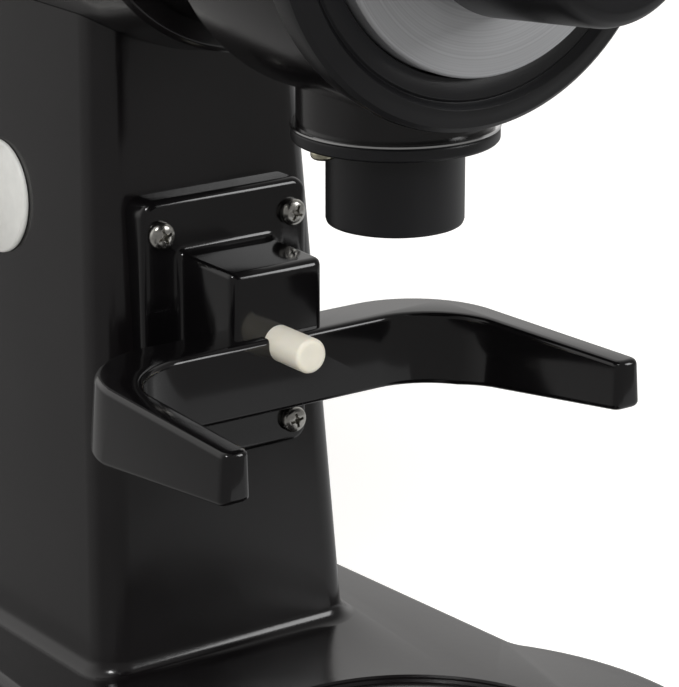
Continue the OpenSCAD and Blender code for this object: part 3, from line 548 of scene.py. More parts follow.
def arc(centre, radius, start, end, steps):
    """Points along an arc, angles in degrees, both ends included."""
    return [(centre[0] + radius * math.cos(math.radians(start + (end - start) * i / steps)),
             centre[1] + radius * math.sin(math.radians(start + (end - start) * i / steps)))
            for i in range(steps + 1)]


def rounded(half_x, low_y, high_y, radius, steps=10):
    """Outline of a rectangle with round corners, centred on X."""
    corners = [((half_x - radius, high_y - radius), 0), ((radius - half_x, high_y - radius), 90),
               ((radius - half_x, low_y + radius), 180), ((half_x - radius, low_y + radius), 270)]
    return [p for centre, a in corners for p in arc(centre, radius, a, a + 90, steps)]


def deliver(piece, material, slot, *nodes):
    """Gives the piece its finish, seats it on its body and lets it stand for its frame nodes."""
    piece.data.materials.clear()
    piece.data.materials.append(finish(material))
    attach(piece, frame["nodes"][nodes[0]]["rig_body"])
    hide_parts(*nodes)
    return piece


def copy_node(node, name):
    """A merged copy of a frame node's mesh, with its flat faces made whole again."""
    source = frame["nodes"][node]
    piece = bpy.data.objects.new(name, source.data.copy())
    bpy.context.scene.collection.objects.link(piece)
    open_whole(piece)
    bpy.ops.mesh.remove_doubles(threshold=0.000005)
    bpy.ops.mesh.dissolve_limited(angle_limit=math.radians(0.4))
    close_up()
    return piece


def loft(name, sections):
    """A solid through outlines at rising heights: the first outline's face is extruded to each
    next height and its corners are put onto that outline. All outlines have as many corners."""
    clear_selection()
    outline, z = sections[0]
    bpy.ops.mesh.primitive_circle_add(vertices=len(outline), radius=1, fill_type="NGON")
    piece = bpy.context.object
    piece.name = name
    for vertex, (x, y) in zip(piece.data.vertices, outline):
        vertex.co = (x, y, z)
    for next_outline, next_z in sections[1:]:
        bpy.ops.object.mode_set(mode="EDIT")
        bpy.ops.mesh.extrude_region_move(
            TRANSFORM_OT_translate={"value": (0, 0, next_z - z), "orient_type": "GLOBAL"})
        bpy.ops.object.mode_set(mode="OBJECT")
        for vertex in [v for v in piece.data.vertices if v.select]:
            nearest = min(range(len(outline)), key=lambda i: (vertex.co.x - outline[i][0]) ** 2
                          + (vertex.co.y - outline[i][1]) ** 2)
            vertex.co.x, vertex.co.y = next_outline[nearest]
        outline, z = next_outline, next_z
    return mend(piece)


def upright(piece):
    """Turns a piece drawn flat, so that its outline's second axis is Z and its height runs to the
    front."""
    piece.rotation_euler = (math.radians(90), 0, 0)
    return settle(piece)


def rod(name, radius, start, end, sides=64):
    """A plain round rod between two points, as a cutting tool or a core."""
    start, end = Vector(start), Vector(end)
    span = (end - start).length
    return turned(name, [(radius, 0), (radius, span)], start, (end - start) / span, sides)


def cut_below(piece, point, normal):
    """Cuts off what lies on the side the normal points to, and closes the cut."""
    open_whole(piece)
    bpy.ops.mesh.bisect(plane_co=point, plane_no=normal, use_fill=True, clear_outer=True)
    close_up()
    return piece


def place_copy(piece, name, position, turn, facing=FRONT):
    """A copy of a piece that was made at the origin and looks up, set down facing a direction."""
    made = bpy.data.objects.new(name, piece.data.copy())
    bpy.context.scene.collection.objects.link(made)
    made.rotation_mode = "QUATERNION"
    made.rotation_quaternion = facing.to_track_quat("Z", "Y")
    made.location = position
    axis = max("XYZ", key=lambda letter: abs(getattr(facing, letter.lower())))
    return turn_about(settle(made), turn, axis, position)


def cross_screw(name, head_r, head_h, shank_r, shank):
    """A pan head screw with a cross recess, head up at the origin and shank downwards."""
    k = head_h
    screw = turned(name, [(shank_r * 0.7, -shank), (shank_r, -shank + shank_r * 0.4), (shank_r, 0),
                          (head_r * 0.97, 0), (head_r, k * 0.14), (head_r, k * 0.4),
                          (head_r * 0.95, k * 0.62), (head_r * 0.84, k * 0.8),
                          (head_r * 0.66, k * 0.92), (head_r * 0.4, k * 0.985), (head_r * 0.1, k)],
                   (0, 0, 0), UP, 48)
    for i in range(2):
        arm = block("recess", (-head_r * 0.56, -head_r * 0.1, k * 0.35),
                    (head_r * 0.56, head_r * 0.1, k * 2))
        if i:
            arm.rotation_euler = (0, 0, math.radians(90))
            settle(arm)
        screw = combine(screw, arm, "DIFFERENCE")
    core = turned("recess", [(head_r * 0.1, k * 0.2), (head_r * 0.3, k * 1.2)], (0, 0, 0), UP, 24)
    return round_edges(combine(screw, core, "DIFFERENCE"), head_r * 0.02, 2, 35)


def section_outline(grow, share):
    """The column's outline at a share of its height, grown outwards."""
    half = COLUMN_HALF_LOW + (COLUMN_HALF_HIGH - COLUMN_HALF_LOW) * share + grow
    front = COLUMN_FRONT_LOW + (COLUMN_FRONT_HIGH - COLUMN_FRONT_LOW) * share - grow
    return rounded(half, front, COLUMN_BACK + grow, max(0.0015, COLUMN_CORNER + grow))


def fork_outline(out, inn):
    """The fork's outline: round shoulders, arms that open a little, softened tips. out and inn move
    its outer and inner walls outwards from the arms' middle."""
    tip_x, tip_y = FORK_TIP_HALF + out, FORK_LOW.y
    right = arc((FORK_SHOULDER_X, FORK_BACK - FORK_OUT_R), FORK_OUT_R + out, 0, 90, 14)
    left = arc((-FORK_SHOULDER_X, FORK_BACK - FORK_OUT_R), FORK_OUT_R + out, 90, 180, 14)
    inner_y = FORK_INNER_Y - FORK_IN_R
    inner_left = arc((-FORK_INNER_X, inner_y), FORK_IN_R - inn, 180, 90, 14)
    inner_right = arc((FORK_INNER_X, inner_y), FORK_IN_R - inn, 90, 0, 14)
    tip_in = FORK_TIP_HALF - FORK_ARM - inn
    soft = 0.0024
    outer_tip = arc((tip_x - soft, tip_y + soft), soft, 270, 360, 4)
    inner_tip = arc((tip_in + soft, tip_y + soft), soft, 180, 270, 4)
    left_tip = [(-x, y) for x, y in reversed(inner_tip + outer_tip)]
    return outer_tip + right + left + left_tip + inner_left + inner_right + inner_tip


# ---------------------------------------------------------------- proportions of the castings

BASE_TOP = 0.0244
BASE_LOW = STAND_LOW.z
DISC_R = half_width("body")
DISC_Y = STAND_LOW.y + DISC_R
FLANK_FRONT = 0.0623
FLANK_BACK = 0.056
BASE_CORNER = 0.016
CUP_R = 0.0465
CUP_Y = -0.0582
CUP_DEPTH = 0.0016
COLUMN_HALF_LOW = 0.0385
COLUMN_HALF_HIGH = 0.030
COLUMN_FRONT_LOW = 0.0212
COLUMN_FRONT_HIGH = 0.0334
COLUMN_BACK = 0.108
COLUMN_TOP = 0.19707
COLUMN_CORNER = 0.008
COLUMN_WALL = 0.004
BASE_WALL = 0.005

FORK_LOW, FORK_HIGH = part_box("fork_bracket")
PLATE_TOP = FORK_HIGH.z
PLATE_LOW = FORK_LOW.z
PLATE_HALF = 0.0246
PLATE_FACE = 0.022
FORK_TIP_HALF = half_width("fork_bracket")
FORK_SHOULDER_X = 0.0312
FORK_BACK = 0.0103
FORK_OUT_R = 0.025
FORK_IN_R = 0.021
FORK_INNER_X = 0.029
FORK_INNER_Y = -0.003
FORK_ARM = 0.0062
FORK_TOP_Z = 0.1146
FORK_LOW_Z = 0.0958
FORK_TIP_LOW_Z = 0.1024
BOSS_HALF = 0.0138
BOSS_FACE = -0.0006
BOSS_TOP = 0.1323
SCREW_X = 0.0195
SCREW_LOW = 0.083
SCREW_HIGH = 0.138
# how far the bright ring sits below the frame's, with the flange's top under it
RING_DROP = 0.0008
# back face of the chamber's wide part
CHAMBER_STEP = -0.0308
CHAMBER_BORE = 0.042
FEED_R = 0.045


class PieceOperator:
    bl_options = {"REGISTER", "UNDO"}

    @property
    def sizes(self):
        return bpy.context.scene.grinder_sizes


class GRINDER_OT_stage(PieceOperator, bpy.types.Operator):
    """Floor, soft light and camera"""
    bl_idname = "grinder.stage"
    bl_label = "Stage"

    def execute(self, context):
        scene = context.scene
        clear_selection()
        bpy.ops.mesh.primitive_plane_add(size=16, location=(0, 3, 0))
        floor = context.object
        floor.name = "studio_floor"
        material, tree, coords = start_material("studio_floor")
        mottle = noise(tree, coords, 300, 2.0)
        tint = ramp(tree, mottle, shade(scene.grinder_colours.floor, 0.99),
                    scene.grinder_colours.floor)
        matt = add(tree, "ShaderNodeBsdfPrincipled", {"Roughness": 0.9}, Base_Color=tint)
        glow = add(tree, "ShaderNodeEmission", {"Strength": 0.62}, Color=tint)
        rays = add(tree, "ShaderNodeLightPath")
        lift = add(tree, "ShaderNodeMixShader", None, i0=rays.outputs["Is Camera Ray"],
                   i2=glow.outputs[0])
        shader = add(tree, "ShaderNodeAddShader", None, i0=matt.outputs[0], i1=lift.outputs[0])
        floor.data.materials.append(finish_material(material, tree, shader))

        floor.visible_glossy = False
        key = self.light("key_left", (-1.3, -1.8, 1.7), (0, 0, 0.18), (1.2, 1.2), 38)
        key.visible_glossy = False
        self.light("glint_box", (-1.3, -0.9, 2.2), (0, 0, 0.15), (0.45, 0.45), 16)
        self.light("strip_right", (1.5, -1.7, 1.1), (0, 0, 0.2), (0.6, 1.0), 11)
        self.bounce_card()

        world = bpy.data.worlds.new("studio_air")
        scene.world = world
        world.use_nodes = True
        tree = world.node_tree
        tree.nodes.clear()
        heading = add(tree, "ShaderNodeTexCoord")
        parts = add(tree, "ShaderNodeSeparateXYZ", None, i0=heading.outputs["Generated"])
        rising = add(tree, "ShaderNodeMapRange", {1: -0.12, 2: 0.22, 3: 0.0, 4: 1.0},
                     Value=parts.outputs["Z"])
        behind = add(tree, "ShaderNodeMapRange", {1: -0.1, 2: 0.6, 3: 0.0, 4: 1.0},
                     Value=parts.outputs["Y"])
        window = add(tree, "ShaderNodeMath", {"operation": "MULTIPLY"}, i0=rising.outputs[0],
                     i1=behind.outputs[0])
        low_level = add(tree, "ShaderNodeMapRange", {1: -0.2, 2: 0.3, 3: 0.2, 4: 0.29},
                        Value=parts.outputs["Y"])
        top_level = add(tree, "ShaderNodeMath", {"operation": "MULTIPLY", 1: 0.48},
                        i0=window.outputs[0])
        level = add(tree, "ShaderNodeMath", {"operation": "ADD"}, i0=low_level.outputs[0],
                    i1=top_level.outputs[0])
        seen = add(tree, "ShaderNodeBackground", {"Color": (1, 1, 1, 1), "Strength": 1.0})
        lit = add(tree, "ShaderNodeBackground", {"Color": (1, 0.985, 0.97, 1)},
                  Strength=level.outputs[0])
        rays = add(tree, "ShaderNodeLightPath")
        mix = add(tree, "ShaderNodeMixShader", None, i0=rays.outputs["Is Camera Ray"],
                  i1=lit.outputs[0], i2=seen.outputs[0])
        add(tree, "ShaderNodeOutputWorld", None, Surface=mix.outputs[0])
        scene.view_settings.view_transform = "Standard"

        camera = bpy.data.cameras.new("camera")
        camera.lens = 167.5
        camera.sensor_width = 36
        camera.clip_start = 0.01
        view = bpy.data.objects.new("camera", camera)
        scene.collection.objects.link(view)
        view.location = (-0.4239, -0.6161, 0.3480)
        heading = Vector((0.55653, 0.77450, -0.30071))
        view.rotation_euler = heading.to_track_quat("-Z", "Y").to_euler()
        scene.camera = view
        return {"FINISHED"}

    def bounce_card(self):
        """A pale card on the floor, on the stand's right, that only reflections see."""
        clear_selection()
        bpy.ops.mesh.primitive_plane_add(size=1, location=(0.8, 0.605, 0.0005))
        card = bpy.context.object
        card.name = "studio_card"
        bpy.ops.transform.resize(value=(1.6, 1.79, 1))
        bpy.ops.object.transform_apply(scale=True)
        material, tree, coords = start_material("studio_card")
        mottle = noise(tree, coords, 300, 2.0)
        tint = spread(tree, mottle, 0.44, 0.46)
        glow = add(tree, "ShaderNodeEmission", {"Color": (1, 1, 1, 1)}, Strength=tint)
        card.data.materials.append(finish_material(material, tree, glow))
        card.visible_camera = False
        card.visible_diffuse = False
        card.visible_shadow = False
        card.visible_transmission = False

    def light(self, name, place, aim, size, power):
        data = bpy.data.lights.new(name, "AREA")
        data.shape = "RECTANGLE"
        data.size, data.size_y = size
        data.energy = power
        lamp = bpy.data.objects.new(name, data)
        bpy.context.scene.collection.objects.link(lamp)
        lamp.location = place
        lamp.rotation_euler = (Vector(aim) - Vector(place)).to_track_quat("-Z", "Y").to_euler()
        lamp.visible_camera = False
        return lamp


class GRINDER_OT_stand(PieceOperator, bpy.types.Operator):
    """Cast base and column with their fillet, cup circle, hollow inside and openings"""
    bl_idname = "grinder.stand"
    bl_label = "Stand casting"

    def base_outline(self, inset):
        flank = FLANK_FRONT - inset
        radius = DISC_R - inset
        meet = math.degrees(math.acos(flank / radius))
        front = arc((0, DISC_Y), radius, 180 - meet, 360 + meet, 72)
        back_y = STAND_HIGH.y - inset
        corner = BASE_CORNER - inset
        half = FLANK_BACK - inset
        right = arc((half - corner, back_y - corner), corner, 0, 90, 10)
        left = arc((corner - half, back_y - corner), corner, 90, 180, 10)
        return front + right + left

    def execute(self, context):
        base = round_edges(slab("base", self.base_outline(0), BASE_LOW, BASE_TOP),
                           self.sizes.base_round, 6, 30)
        fillet = self.sizes.column_fillet
        height = COLUMN_TOP - BASE_TOP
        sections = [(section_outline(fillet, 0), BASE_TOP - 0.002)]
        for i in range(9):
            a = math.radians(90 * i / 8)
            rise = fillet * (1 - math.cos(a))
            sections.append((section_outline(fillet * (1 - math.sin(a)), rise / height),
                             BASE_TOP + rise - (0.0001 if i == 0 else 0)))
        sections.append((section_outline(0, 1), COLUMN_TOP))
        stand = combine(base, loft("column", sections), "UNION")

        housing_r = half_width("motor_housing")
        stand = combine(stand, rod("saddle", housing_r + 0.0001, (0, -0.02, HEAD_AXIS),
                                   (0, 0.16, HEAD_AXIS), 128), "DIFFERENCE")
        cup = turned("cup", [(CUP_R - 0.0006, -CUP_DEPTH), (CUP_R, -CUP_DEPTH + 0.0006),
                             (CUP_R, -0.0005), (CUP_R + 0.0005, 0), (CUP_R + 0.0005, 0.004)],
                     (0, CUP_Y, BASE_TOP), UP, 128)
        stand = combine(stand, cup, "DIFFERENCE")

        hollow = slab("hollow", self.base_outline(BASE_WALL), BASE_LOW - 0.01, BASE_TOP - BASE_WALL)
        stand = combine(stand, hollow, "DIFFERENCE")
        shaft = loft("shaft_hollow", [(section_outline(-COLUMN_WALL, 0), BASE_TOP - BASE_WALL - 0.001),
                                      (section_outline(-COLUMN_WALL, 0.84),
                                       BASE_TOP + height * 0.84)])
        shaft = combine(shaft, rod("saddle", housing_r + 0.005, (0, -0.02, HEAD_AXIS),
                                   (0, 0.16, HEAD_AXIS), 96), "DIFFERENCE")
        stand = combine(stand, shaft, "DIFFERENCE")

        inlet = middle("mains_inlet")
        rocker = middle("rocker_frame")
        stand = combine(stand, block("inlet_hole", (-0.0139, 0.096, inlet.z - 0.0099),
                                     (0.0139, 0.12, inlet.z + 0.0099)), "DIFFERENCE")
        stand = combine(stand, block("rocker_hole", (-0.0106, 0.096, rocker.z - 0.0061),
                                     (0.0106, 0.12, rocker.z + 0.0061)), "DIFFERENCE")
        stand = combine(stand, rod("pin_hole", 0.0028, (0, 0.0, PIN_AXIS), (0, 0.045, PIN_AXIS)),
                        "DIFFERENCE")
        deliver(smooth(stand, 35), "stoved_enamel", "dark_casting", "body")
        stand.name = "stand_casting"
        return {"FINISHED"}


class GRINDER_OT_fork(PieceOperator, bpy.types.Operator):
    """Gloss fork bracket: screwed plate, boss round the push pin and the wide fork"""
    bl_idname = "grinder.fork"
    bl_label = "Fork bracket"

    def execute(self, context):
        round_r = self.sizes.moulding_round
        plate = upright(slab("plate", rounded(PLATE_HALF, PLATE_LOW, PLATE_TOP, 0.0044),
                             -0.036, -PLATE_FACE))
        plate = round_edges(plate, round_r * 1.3, 6, 50)
        lean = (COLUMN_FRONT_HIGH - COLUMN_FRONT_LOW) / (COLUMN_TOP - BASE_TOP)
        plate = cut_below(plate, (0, COLUMN_FRONT_LOW - 0.0001, BASE_TOP), (0, 1, -lean))

        sections = [(rounded(BOSS_HALF + 0.0022, FORK_LOW_Z - 0.0022, BOSS_TOP + 0.0022, 0.0036, 6),
                     -0.027)]
        flare = 0.0022
        for i in range(6):
            a = math.radians(18 * i)
            grow = flare * (1 - math.sin(a))
            sections.append((rounded(BOSS_HALF + grow, FORK_LOW_Z - grow, BOSS_TOP + grow,
                                     0.0014 + grow, 6), -PLATE_FACE + flare * (1 - math.cos(a))))
        ease = 0.0022
        for i in range(6):
            a = math.radians(18 * i)
            inset = 0.0003 + ease * (1 - math.cos(a))
            sections.append((rounded(BOSS_HALF - inset, FORK_LOW_Z + inset, BOSS_TOP - inset, 0.0016,
                                     6), ease * (math.sin(a) - 1) - BOSS_FACE))
        boss = upright(loft("boss", sections))

        fork = loft("fork", [(fork_outline(0.0022, 0.0006), FORK_LOW_Z),
                             (fork_outline(0.0008, 0), FORK_TOP_Z)])
        wedge = block("wedge", (-0.1, -0.15, FORK_LOW_Z - 0.03), (0.1, -0.012, FORK_LOW_Z))
        turn_about(wedge, math.atan2(FORK_TIP_LOW_Z - FORK_LOW_Z, 0.0545), "X",
                   (0, -0.012, FORK_LOW_Z))
        fork = combine(fork, wedge, "DIFFERENCE")
        fork = round_edges(fork, round_r, 5, 35)

        bracket = combine(combine(plate, boss, "UNION"), fork, "UNION")
        bore = 0.00445
        bracket = combine(bracket, rod("bore", bore, (0, -0.03, PIN_AXIS), (0, 0.04, PIN_AXIS)),
                          "DIFFERENCE")
        bracket = combine(bracket, rod("pocket", 0.0062, (0, 0.010, PIN_AXIS),
                                       (0, 0.04, PIN_AXIS)), "DIFFERENCE")
        for x in (-SCREW_X, SCREW_X):
            for z in (SCREW_LOW, SCREW_HIGH):
                bracket = combine(bracket, rod("screw_hole", 0.00215, (x, 0.01, z), (x, 0.04, z),
                                               24), "DIFFERENCE")
        bracket.name = "fork_moulding"
        deliver(smooth(bracket, 32), "gloss_moulding", "gloss_black", "fork_bracket")
        return {"FINISHED"}


class GRINDER_OT_push_pin(PieceOperator, bpy.types.Operator):
    """Nylon push pin with its stop collar and stem"""
    bl_idname = "grinder.push_pin"
    bl_label = "Push pin"

    def execute(self, context):
        low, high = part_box("push_pin")
        front = low.y
        rings = [(0.0034, 0), (0.0040, 0.00025), (0.0044, 0.0009), (0.0044, 0.0251), (0.0058, 0.0251),
                 (0.0058, 0.0276), (0.0022, 0.0276), (0.0022, high.y - front - 0.002),
                 (0.0005, high.y - front)]
        pin = turned("push_pin_nylon", rings, (0, front, PIN_AXIS), -FRONT, 64)
        pin = round_edges(pin, self.sizes.small_round * 0.6, 3, 20)
        deliver(smooth(pin, 30), "natural_nylon", "pin_nylon", "push_pin")
        return {"FINISHED"}


class GRINDER_OT_screws(PieceOperator, bpy.types.Operator):
    """Cross head screws that show: bracket, chute, back cover, base cover and inlet"""
    bl_idname = "grinder.screws"
    bl_label = "Screws"

    def execute(self, context):
        pan = cross_screw("bracket_pan", 0.0035, 0.0026, 0.0017, 0.022)
        places = [(x, PLATE_FACE - 0.0001, z, turn) for x, z, turn in
                  ((-SCREW_X, SCREW_HIGH, 0.35), (SCREW_X, SCREW_HIGH, 1.1),
                   (-SCREW_X, SCREW_LOW, 0.7), (SCREW_X, SCREW_LOW, 0.2))]
        group = [place_copy(pan, "pan", Vector(p[:3]), p[3]) for p in places]
        bpy.data.objects.remove(pan)
        deliver(smooth(merge("bracket_screw_set", group), 30), "nickel_plating", "screw_steel",
                "bracket_screws")

        flange_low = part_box("chute_screws")[1].z - 0.011
        small = cross_screw("flange_pan", 0.0029, 0.002, 0.00145, 0.011)
        group = [place_copy(small, "pan", Vector((s * 0.0202, CHUTE_AXIS, flange_low)), 0.4 * s,
                            DOWN) for s in (-1, 1)]
        bpy.data.objects.remove(small)
        deliver(smooth(merge("chute_screw_set", group), 30), "passivated_zinc", "screw_cream",
                "chute_screws")
        for node in ("back_cover_screws", "cover_screws", "foot_screws", "inlet_screws",
                     "housing_screws", "chamber_screws", "switch_screws"):
            frame["nodes"][node].data.materials.clear()
            frame["nodes"][node].data.materials.append(finish("nickel_plating"))
        return {"FINISHED"}


class GRINDER_OT_head(PieceOperator, bpy.types.Operator):
    """Grinding chamber, motor housing and vented back cover"""
    bl_idname = "grinder.head"
    bl_label = "Head and motor castings"

    def execute(self, context):
        axis = (0, 0, HEAD_AXIS)
        front_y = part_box("grinding_chamber")[0].y
        end_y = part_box("grinding_chamber")[1].y
        r = half_width("grinding_chamber")
        body = turned("chamber_casting", [
            (0.006, end_y), (FEED_R, end_y), (FEED_R, CHAMBER_STEP + 0.004), (0.0455, CHAMBER_STEP + 0.001),
            (0.0475, CHAMBER_STEP), (r - 0.0015, CHAMBER_STEP), (r, CHAMBER_STEP - 0.0015), (r, front_y),
            (CHAMBER_BORE, front_y), (CHAMBER_BORE, CHAMBER_STEP - 0.001),
            (0.015, CHAMBER_STEP - 0.001), (0.015, -0.002),
            (0.006, -0.002)], axis, -FRONT, 128, closed=True)
        neck = rod("neck", 0.0228, (0, CHUTE_AXIS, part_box("grinding_chamber")[0].z - RING_DROP),
                   (0, CHUTE_AXIS, HEAD_AXIS - FEED_R), 96)
        seat = rod("bezel_seat", half_width("bezel_ring") + 0.0001, (0, front_y - 0.03, HEAD_AXIS),
                   (0, front_y - 0.0001, HEAD_AXIS), 128)
        body = combine(body, combine(neck, seat, "DIFFERENCE"), "UNION")
        stem = rod("stem", 0.0185, (0, HOPPER_AXIS, HEAD_AXIS + 0.03),
                   (0, HOPPER_AXIS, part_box("grinding_chamber")[1].z), 64)
        body = combine(body, stem, "UNION")
        body = combine(body, rod("feed", 0.013, (0, HOPPER_AXIS, HEAD_AXIS + 0.002),
                                 (0, HOPPER_AXIS, 0.3)), "DIFFERENCE")
        body = combine(body, rod("drop", 0.013, (0, CHUTE_AXIS, 0.17),
                                 (0, CHUTE_AXIS, HEAD_AXIS - 0.03)), "DIFFERENCE")
        room = rod("room", 0.04195, (0, front_y - 0.01, HEAD_AXIS),
                   (0, CHAMBER_STEP - 0.0011, HEAD_AXIS), 128)
        body = combine(body, room, "DIFFERENCE")
        body = round_edges(body, 0.0006, 3, 40)
        deliver(smooth(body, 35), "stoved_enamel", "dark_casting", "grinding_chamber")

        low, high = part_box("motor_housing")
        r = half_width("motor_housing")
        case = turned("motor_case", [
            (0.01305, low.y), (r - 0.0034, low.y), (r - 0.0022, low.y + 0.0012),
            (r - 0.0004, low.y + 0.0150), (r, low.y + 0.0170), (r, high.y), (r - 0.003, high.y),
            (r - 0.003, low.y + 0.008), (0.01305, low.y + 0.008)], axis, -FRONT, 128, closed=True)
        case = round_edges(case, 0.0005, 2, 40)
        deliver(smooth(case, 30), "stoved_enamel", "dark_casting", "motor_housing")

        low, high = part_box("back_cover")
        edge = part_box("motor_housing")[1].y + 0.0001
        cover = turned("vented_cover", [
            (0.01305, edge - 0.0025), (0.016, edge - 0.0025), (0.016, high.y - 0.003),
            (r - 0.0101, high.y - 0.006), (r - 0.0101, edge), (r, edge), (r, high.y - 0.011),
            (r - 0.0012, high.y - 0.0075), (r - 0.005, high.y - 0.003), (r - 0.009, high.y - 0.001),
            (r - 0.014, high.y), (0.004, high.y), (0.004, high.y - 0.0105),
            (0.01305, high.y - 0.0105)], axis, -FRONT, 128, closed=True)
        for i in range(12):
            slot = rounded(0.0016, 0.020, 0.035, 0.0015, 4)
            tool = upright(slab("slot", slot, -high.y - 0.004, -high.y + 0.012))
            turn_about(tool, math.radians(30 * i + 15), "Y", (0, high.y, 0), (0, 0, HEAD_AXIS))
            cover = combine(cover, tool, "DIFFERENCE")
        for i in range(3):
            a = math.radians(120 * i)
            x, z = 0.0472 * math.sin(a), HEAD_AXIS + 0.0472 * math.cos(a)
            cover = combine(cover, rod("sink", 0.0034, (x, edge + 0.004, z), (x, high.y + 0.01, z),
                                       32), "DIFFERENCE")
        cover = round_edges(cover, 0.0004, 2, 40)
        deliver(smooth(cover, 30), "satin_moulding", "black_plastic", "back_cover")
        return {"FINISHED"}


class GRINDER_OT_front(PieceOperator, bpy.types.Operator):
    """Bezel ring, turned dial disc and tapered knob"""
    bl_idname = "grinder.front"
    bl_label = "Bezel, dial and knob"

    def execute(self, context):
        axis = (0, 0, HEAD_AXIS)
        low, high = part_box("bezel_ring")
        r = half_width("bezel_ring")
        face = low.y + 0.0008
        bezel = turned("bezel_black", [
            (0.0415, face + 0.0012), (0.0462, face + 0.0006), (0.0469, face + 0.0014),
            (0.0476, face + 0.0004), (0.0484, face - 0.0006), (r - 0.0034, face),
            (r - 0.0014, face + 0.0004), (r - 0.0003, face + 0.0014), (r, face + 0.0028),
            (0.0515, high.y - 0.0006), (0.0512, high.y), (0.0425, high.y), (0.0425, face + 0.009),
            (0.0415, face + 0.009)], axis, -FRONT, 128, closed=True)
        bezel = round_edges(bezel, 0.0003, 2, 40)
        deliver(smooth(bezel, 30), "satin_moulding", "black_plastic", "bezel_ring")

        low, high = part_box("dial_disc")
        r = half_width("dial_disc")
        dial = turned("dial_turned", [
            (0.00405, high.y), (r, high.y), (r, low.y + 0.0008), (r - 0.0008, low.y),
            (0.00405, low.y)], axis, -FRONT, 128, closed=True)
        dial = round_edges(dial, 0.0003, 3, 30)
        deliver(smooth(dial, 25), "turned_dial", "dial_metal", "dial_disc")

        low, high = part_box("knob")
        back_r = half_width("knob")
        front_r = 0.0224
        knob = turned("knob_black", [
            (back_r - 0.003, high.y), (back_r - 0.003, high.y - 0.004),
            (back_r - 0.0004, high.y - 0.0062), (back_r, high.y - 0.0072),
            (front_r + 0.0008, low.y + 0.0042), (front_r + 0.0002, low.y + 0.0024),
            (front_r - 0.0011, low.y + 0.0009), (front_r - 0.0032, low.y),
            (front_r - 0.008, low.y + 0.0003), (0.002, low.y + 0.0008)], axis, -FRONT, 128)
        knob = round_edges(knob, 0.0004, 2, 20)
        deliver(smooth(knob, 30), "satin_moulding", "black_plastic", "knob")
        return {"FINISHED"}


class GRINDER_OT_chute(PieceOperator, bpy.types.Operator):
    """Chute tube with its flange, and the bright ring above it"""
    bl_idname = "grinder.chute"
    bl_label = "Chute"

    def execute(self, context):
        low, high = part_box("chute")
        axis = (0, CHUTE_AXIS, 0)
        flange_top = high.z - RING_DROP
        flange_r = half_width("chute")
        tube_r = 0.016
        flange_low = high.z - 0.004
        chute = turned("chute_moulding", [
            (0.013, low.z + 0.0006), (0.0136, low.z), (tube_r - 0.0012, low.z),
            (tube_r - 0.0003, low.z + 0.0003), (tube_r, low.z + 0.0012),
            (tube_r, flange_low - 0.0008), (tube_r + 0.0008, flange_low),
            (flange_r - 0.0006, flange_low), (flange_r, flange_low + 0.0006),
            (flange_r, flange_top - 0.0004), (flange_r - 0.0004, flange_top),
            (0.013, flange_top)], axis, UP, 128, closed=True)
        deliver(smooth(round_edges(chute, 0.0002, 2, 30), 30), "satin_moulding", "black_plastic",
                "chute")
        low, high = (corner.z - RING_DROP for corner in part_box("chute_gasket"))
        r = half_width("chute_gasket")
        ring = turned("bright_ring", [
            (0.0135, low), (r - 0.0002, low), (r, low + 0.0002), (r, high - 0.0002),
            (r - 0.0002, high), (0.0135, high)], axis, UP, 128, closed=True)
        deliver(smooth(ring, 30), "polished_ring", "gasket_pale", "chute_gasket")
        return {"FINISHED"}


class GRINDER_OT_hopper(PieceOperator, bpy.types.Operator):
    """Clear hopper, its lid, collar and shutter"""
    bl_idname = "grinder.hopper"
    bl_label = "Hopper"

    def execute(self, context):
        axis = (0, HOPPER_AXIS, 0)
        low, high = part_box("hopper")
        r = half_width("hopper")
        w = 0.0024
        z0 = low.z
        bowl = turned("hopper_clear", [
            (0.015, z0), (0.0299, z0), (0.0299, z0 + 0.0069), (0.0312, z0 + 0.0085),
            (r - 0.0012, z0 + 0.0305), (r, z0 + 0.0335), (r, high.z - 0.0006), (r - 0.0006, high.z),
            (r - w + 0.0004, high.z), (r - w, high.z - 0.0004), (r - w, z0 + 0.0345),
            (0.0175, z0 + 0.0062), (0.017, z0 + 0.0058), (0.015, z0 + 0.0058)], axis, UP, 128,
            closed=True)
        deliver(smooth(bowl, 30), "smoke_polycarbonate", "smoke_clear", "hopper")

        low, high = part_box("hopper_lid")
        r = half_width("hopper_lid")
        seat = low.z + 0.006
        skirt = 0.0551
        lid = turned("lid_black", [
            (skirt - 0.0031, low.z + 0.008), (skirt - 0.0031, low.z), (skirt, low.z), (skirt, seat),
            (r, seat), (r, seat + 0.0024), (r - 0.0095, high.z - 0.0035), (0.03, high.z - 0.0014),
            (0.0145, high.z - 0.0009), (0.0125, high.z - 0.0001), (0.004, high.z)], axis, UP, 128)
        lid = round_edges(lid, 0.0006, 3, 25)
        deliver(smooth(lid, 30), "satin_moulding", "black_plastic", "hopper_lid")

        for node, name, slot, edge in (("hopper_collar", "collar_black", "black_plastic", 0.0006),
                                       ("shutter", "shutter_blade", "black_plastic", 0.0004)):
            piece = smooth(round_edges(copy_node(node, name), edge, 3, 40), 30)
            deliver(piece, "satin_moulding", slot, node)
        return {"FINISHED"}


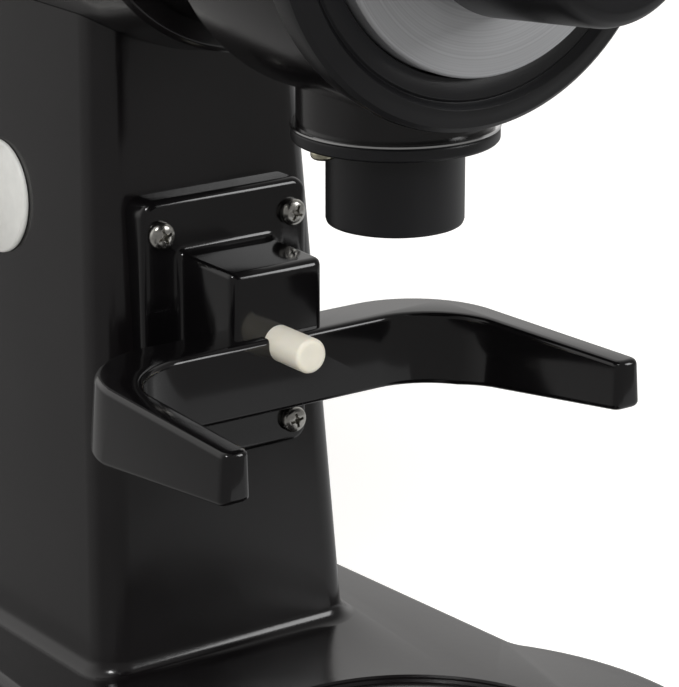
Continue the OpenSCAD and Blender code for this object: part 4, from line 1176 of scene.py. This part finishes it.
class GRINDER_OT_fittings(PieceOperator, bpy.types.Operator):
    """Side badge, feet, bottom cover, rocker switch and mains inlet"""
    bl_idname = "grinder.fittings"
    bl_label = "Badge, feet, switch and inlet"

    def execute(self, context):
        rows = (("badge", "side_badge", "badge_enamel", "badge_white", 0.0003),
                ("feet", "rubber_feet", "moulded_rubber", "foot_rubber", 0.0005),
                ("base_cover", "cover_sheet", "painted_sheet", "steel_sheet", 0.0002),
                ("rocker_frame", "switch_frame", "satin_moulding", "gloss_black", 0.0004),
                ("rocker", "switch_rocker", "gloss_moulding", "gloss_black", 0.0004),
                ("mains_inlet", "inlet_body", "dark_plastic", "black_plastic", 0.0003))
        for node, name, material, slot, edge in rows:
            piece = smooth(round_edges(copy_node(node, name), edge, 2, 40), 30)
            deliver(piece, material, slot, node)
        return {"FINISHED"}


class GRINDER_OT_works(PieceOperator, bpy.types.Operator):
    """Finishes of the working pieces inside"""
    bl_idname = "grinder.works"
    bl_label = "Works inside"

    def execute(self, context):
        finishes = {
            "lamination_stack": ("stator_core", "rotor_core"),
            "copper_winding": ("windings",),
            "ground_steel": ("shaft", "front_bearing", "rear_bearing", "ring_burr", "cone_burr",
                             "auger", "knob_spindle", "detent_ball", "detent_spring",
                             "switch_lever", "capacitor_clip"),
            "machined_aluminium": ("burr_holder", "capacitor"),
            "dark_plastic": ("fan", "switch_body"),
            "bright_brass": ("inlet_pins",),
            "cream_plastic": ("terminal_block",),
        }
        for material, nodes in finishes.items():
            for node in nodes:
                slots = frame["nodes"][node].data.materials
                slots.clear()
                slots.append(finish(material))

        spring = smooth(copy_node("return_spring", "pin_return_spring"), 40)
        deliver(spring, "ground_steel", "ground_steel", "return_spring")
        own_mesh(spring)
        return {"FINISHED"}


STEPS = (GRINDER_OT_stage, GRINDER_OT_stand, GRINDER_OT_head, GRINDER_OT_front, GRINDER_OT_chute,
         GRINDER_OT_fork, GRINDER_OT_push_pin, GRINDER_OT_screws, GRINDER_OT_hopper,
         GRINDER_OT_fittings, GRINDER_OT_works)


class GRINDER_PT_panel(bpy.types.Panel):
    """Colours, sizes and the steps that build the grinder"""
    bl_idname = "GRINDER_PT_panel"
    bl_label = "Coffee grinder"
    bl_space_type = "VIEW_3D"
    bl_region_type = "UI"
    bl_category = "Grinder"

    def draw(self, context):
        for group in (context.scene.grinder_colours, context.scene.grinder_sizes):
            for name in group.bl_rna.properties.keys():
                if name not in ("rna_type", "name"):
                    self.layout.prop(group, name)
        for step in STEPS:
            self.layout.operator(step.bl_idname)


CLASSES = (GrinderColours, GrinderSizes, *STEPS, GRINDER_PT_panel)


def register():
    for cls in CLASSES:
        bpy.utils.register_class(cls)
    bpy.types.Scene.grinder_colours = bpy.props.PointerProperty(type=GrinderColours)
    bpy.types.Scene.grinder_sizes = bpy.props.PointerProperty(type=GrinderSizes)


def unregister():
    del bpy.types.Scene.grinder_sizes
    del bpy.types.Scene.grinder_colours
    for cls in reversed(CLASSES):
        bpy.utils.unregister_class(cls)


def main():
    register()
    for step in STEPS:
        group, name = step.bl_idname.split(".")
        getattr(getattr(bpy.ops, group), name)()


if __name__ == "__main__":
    main()
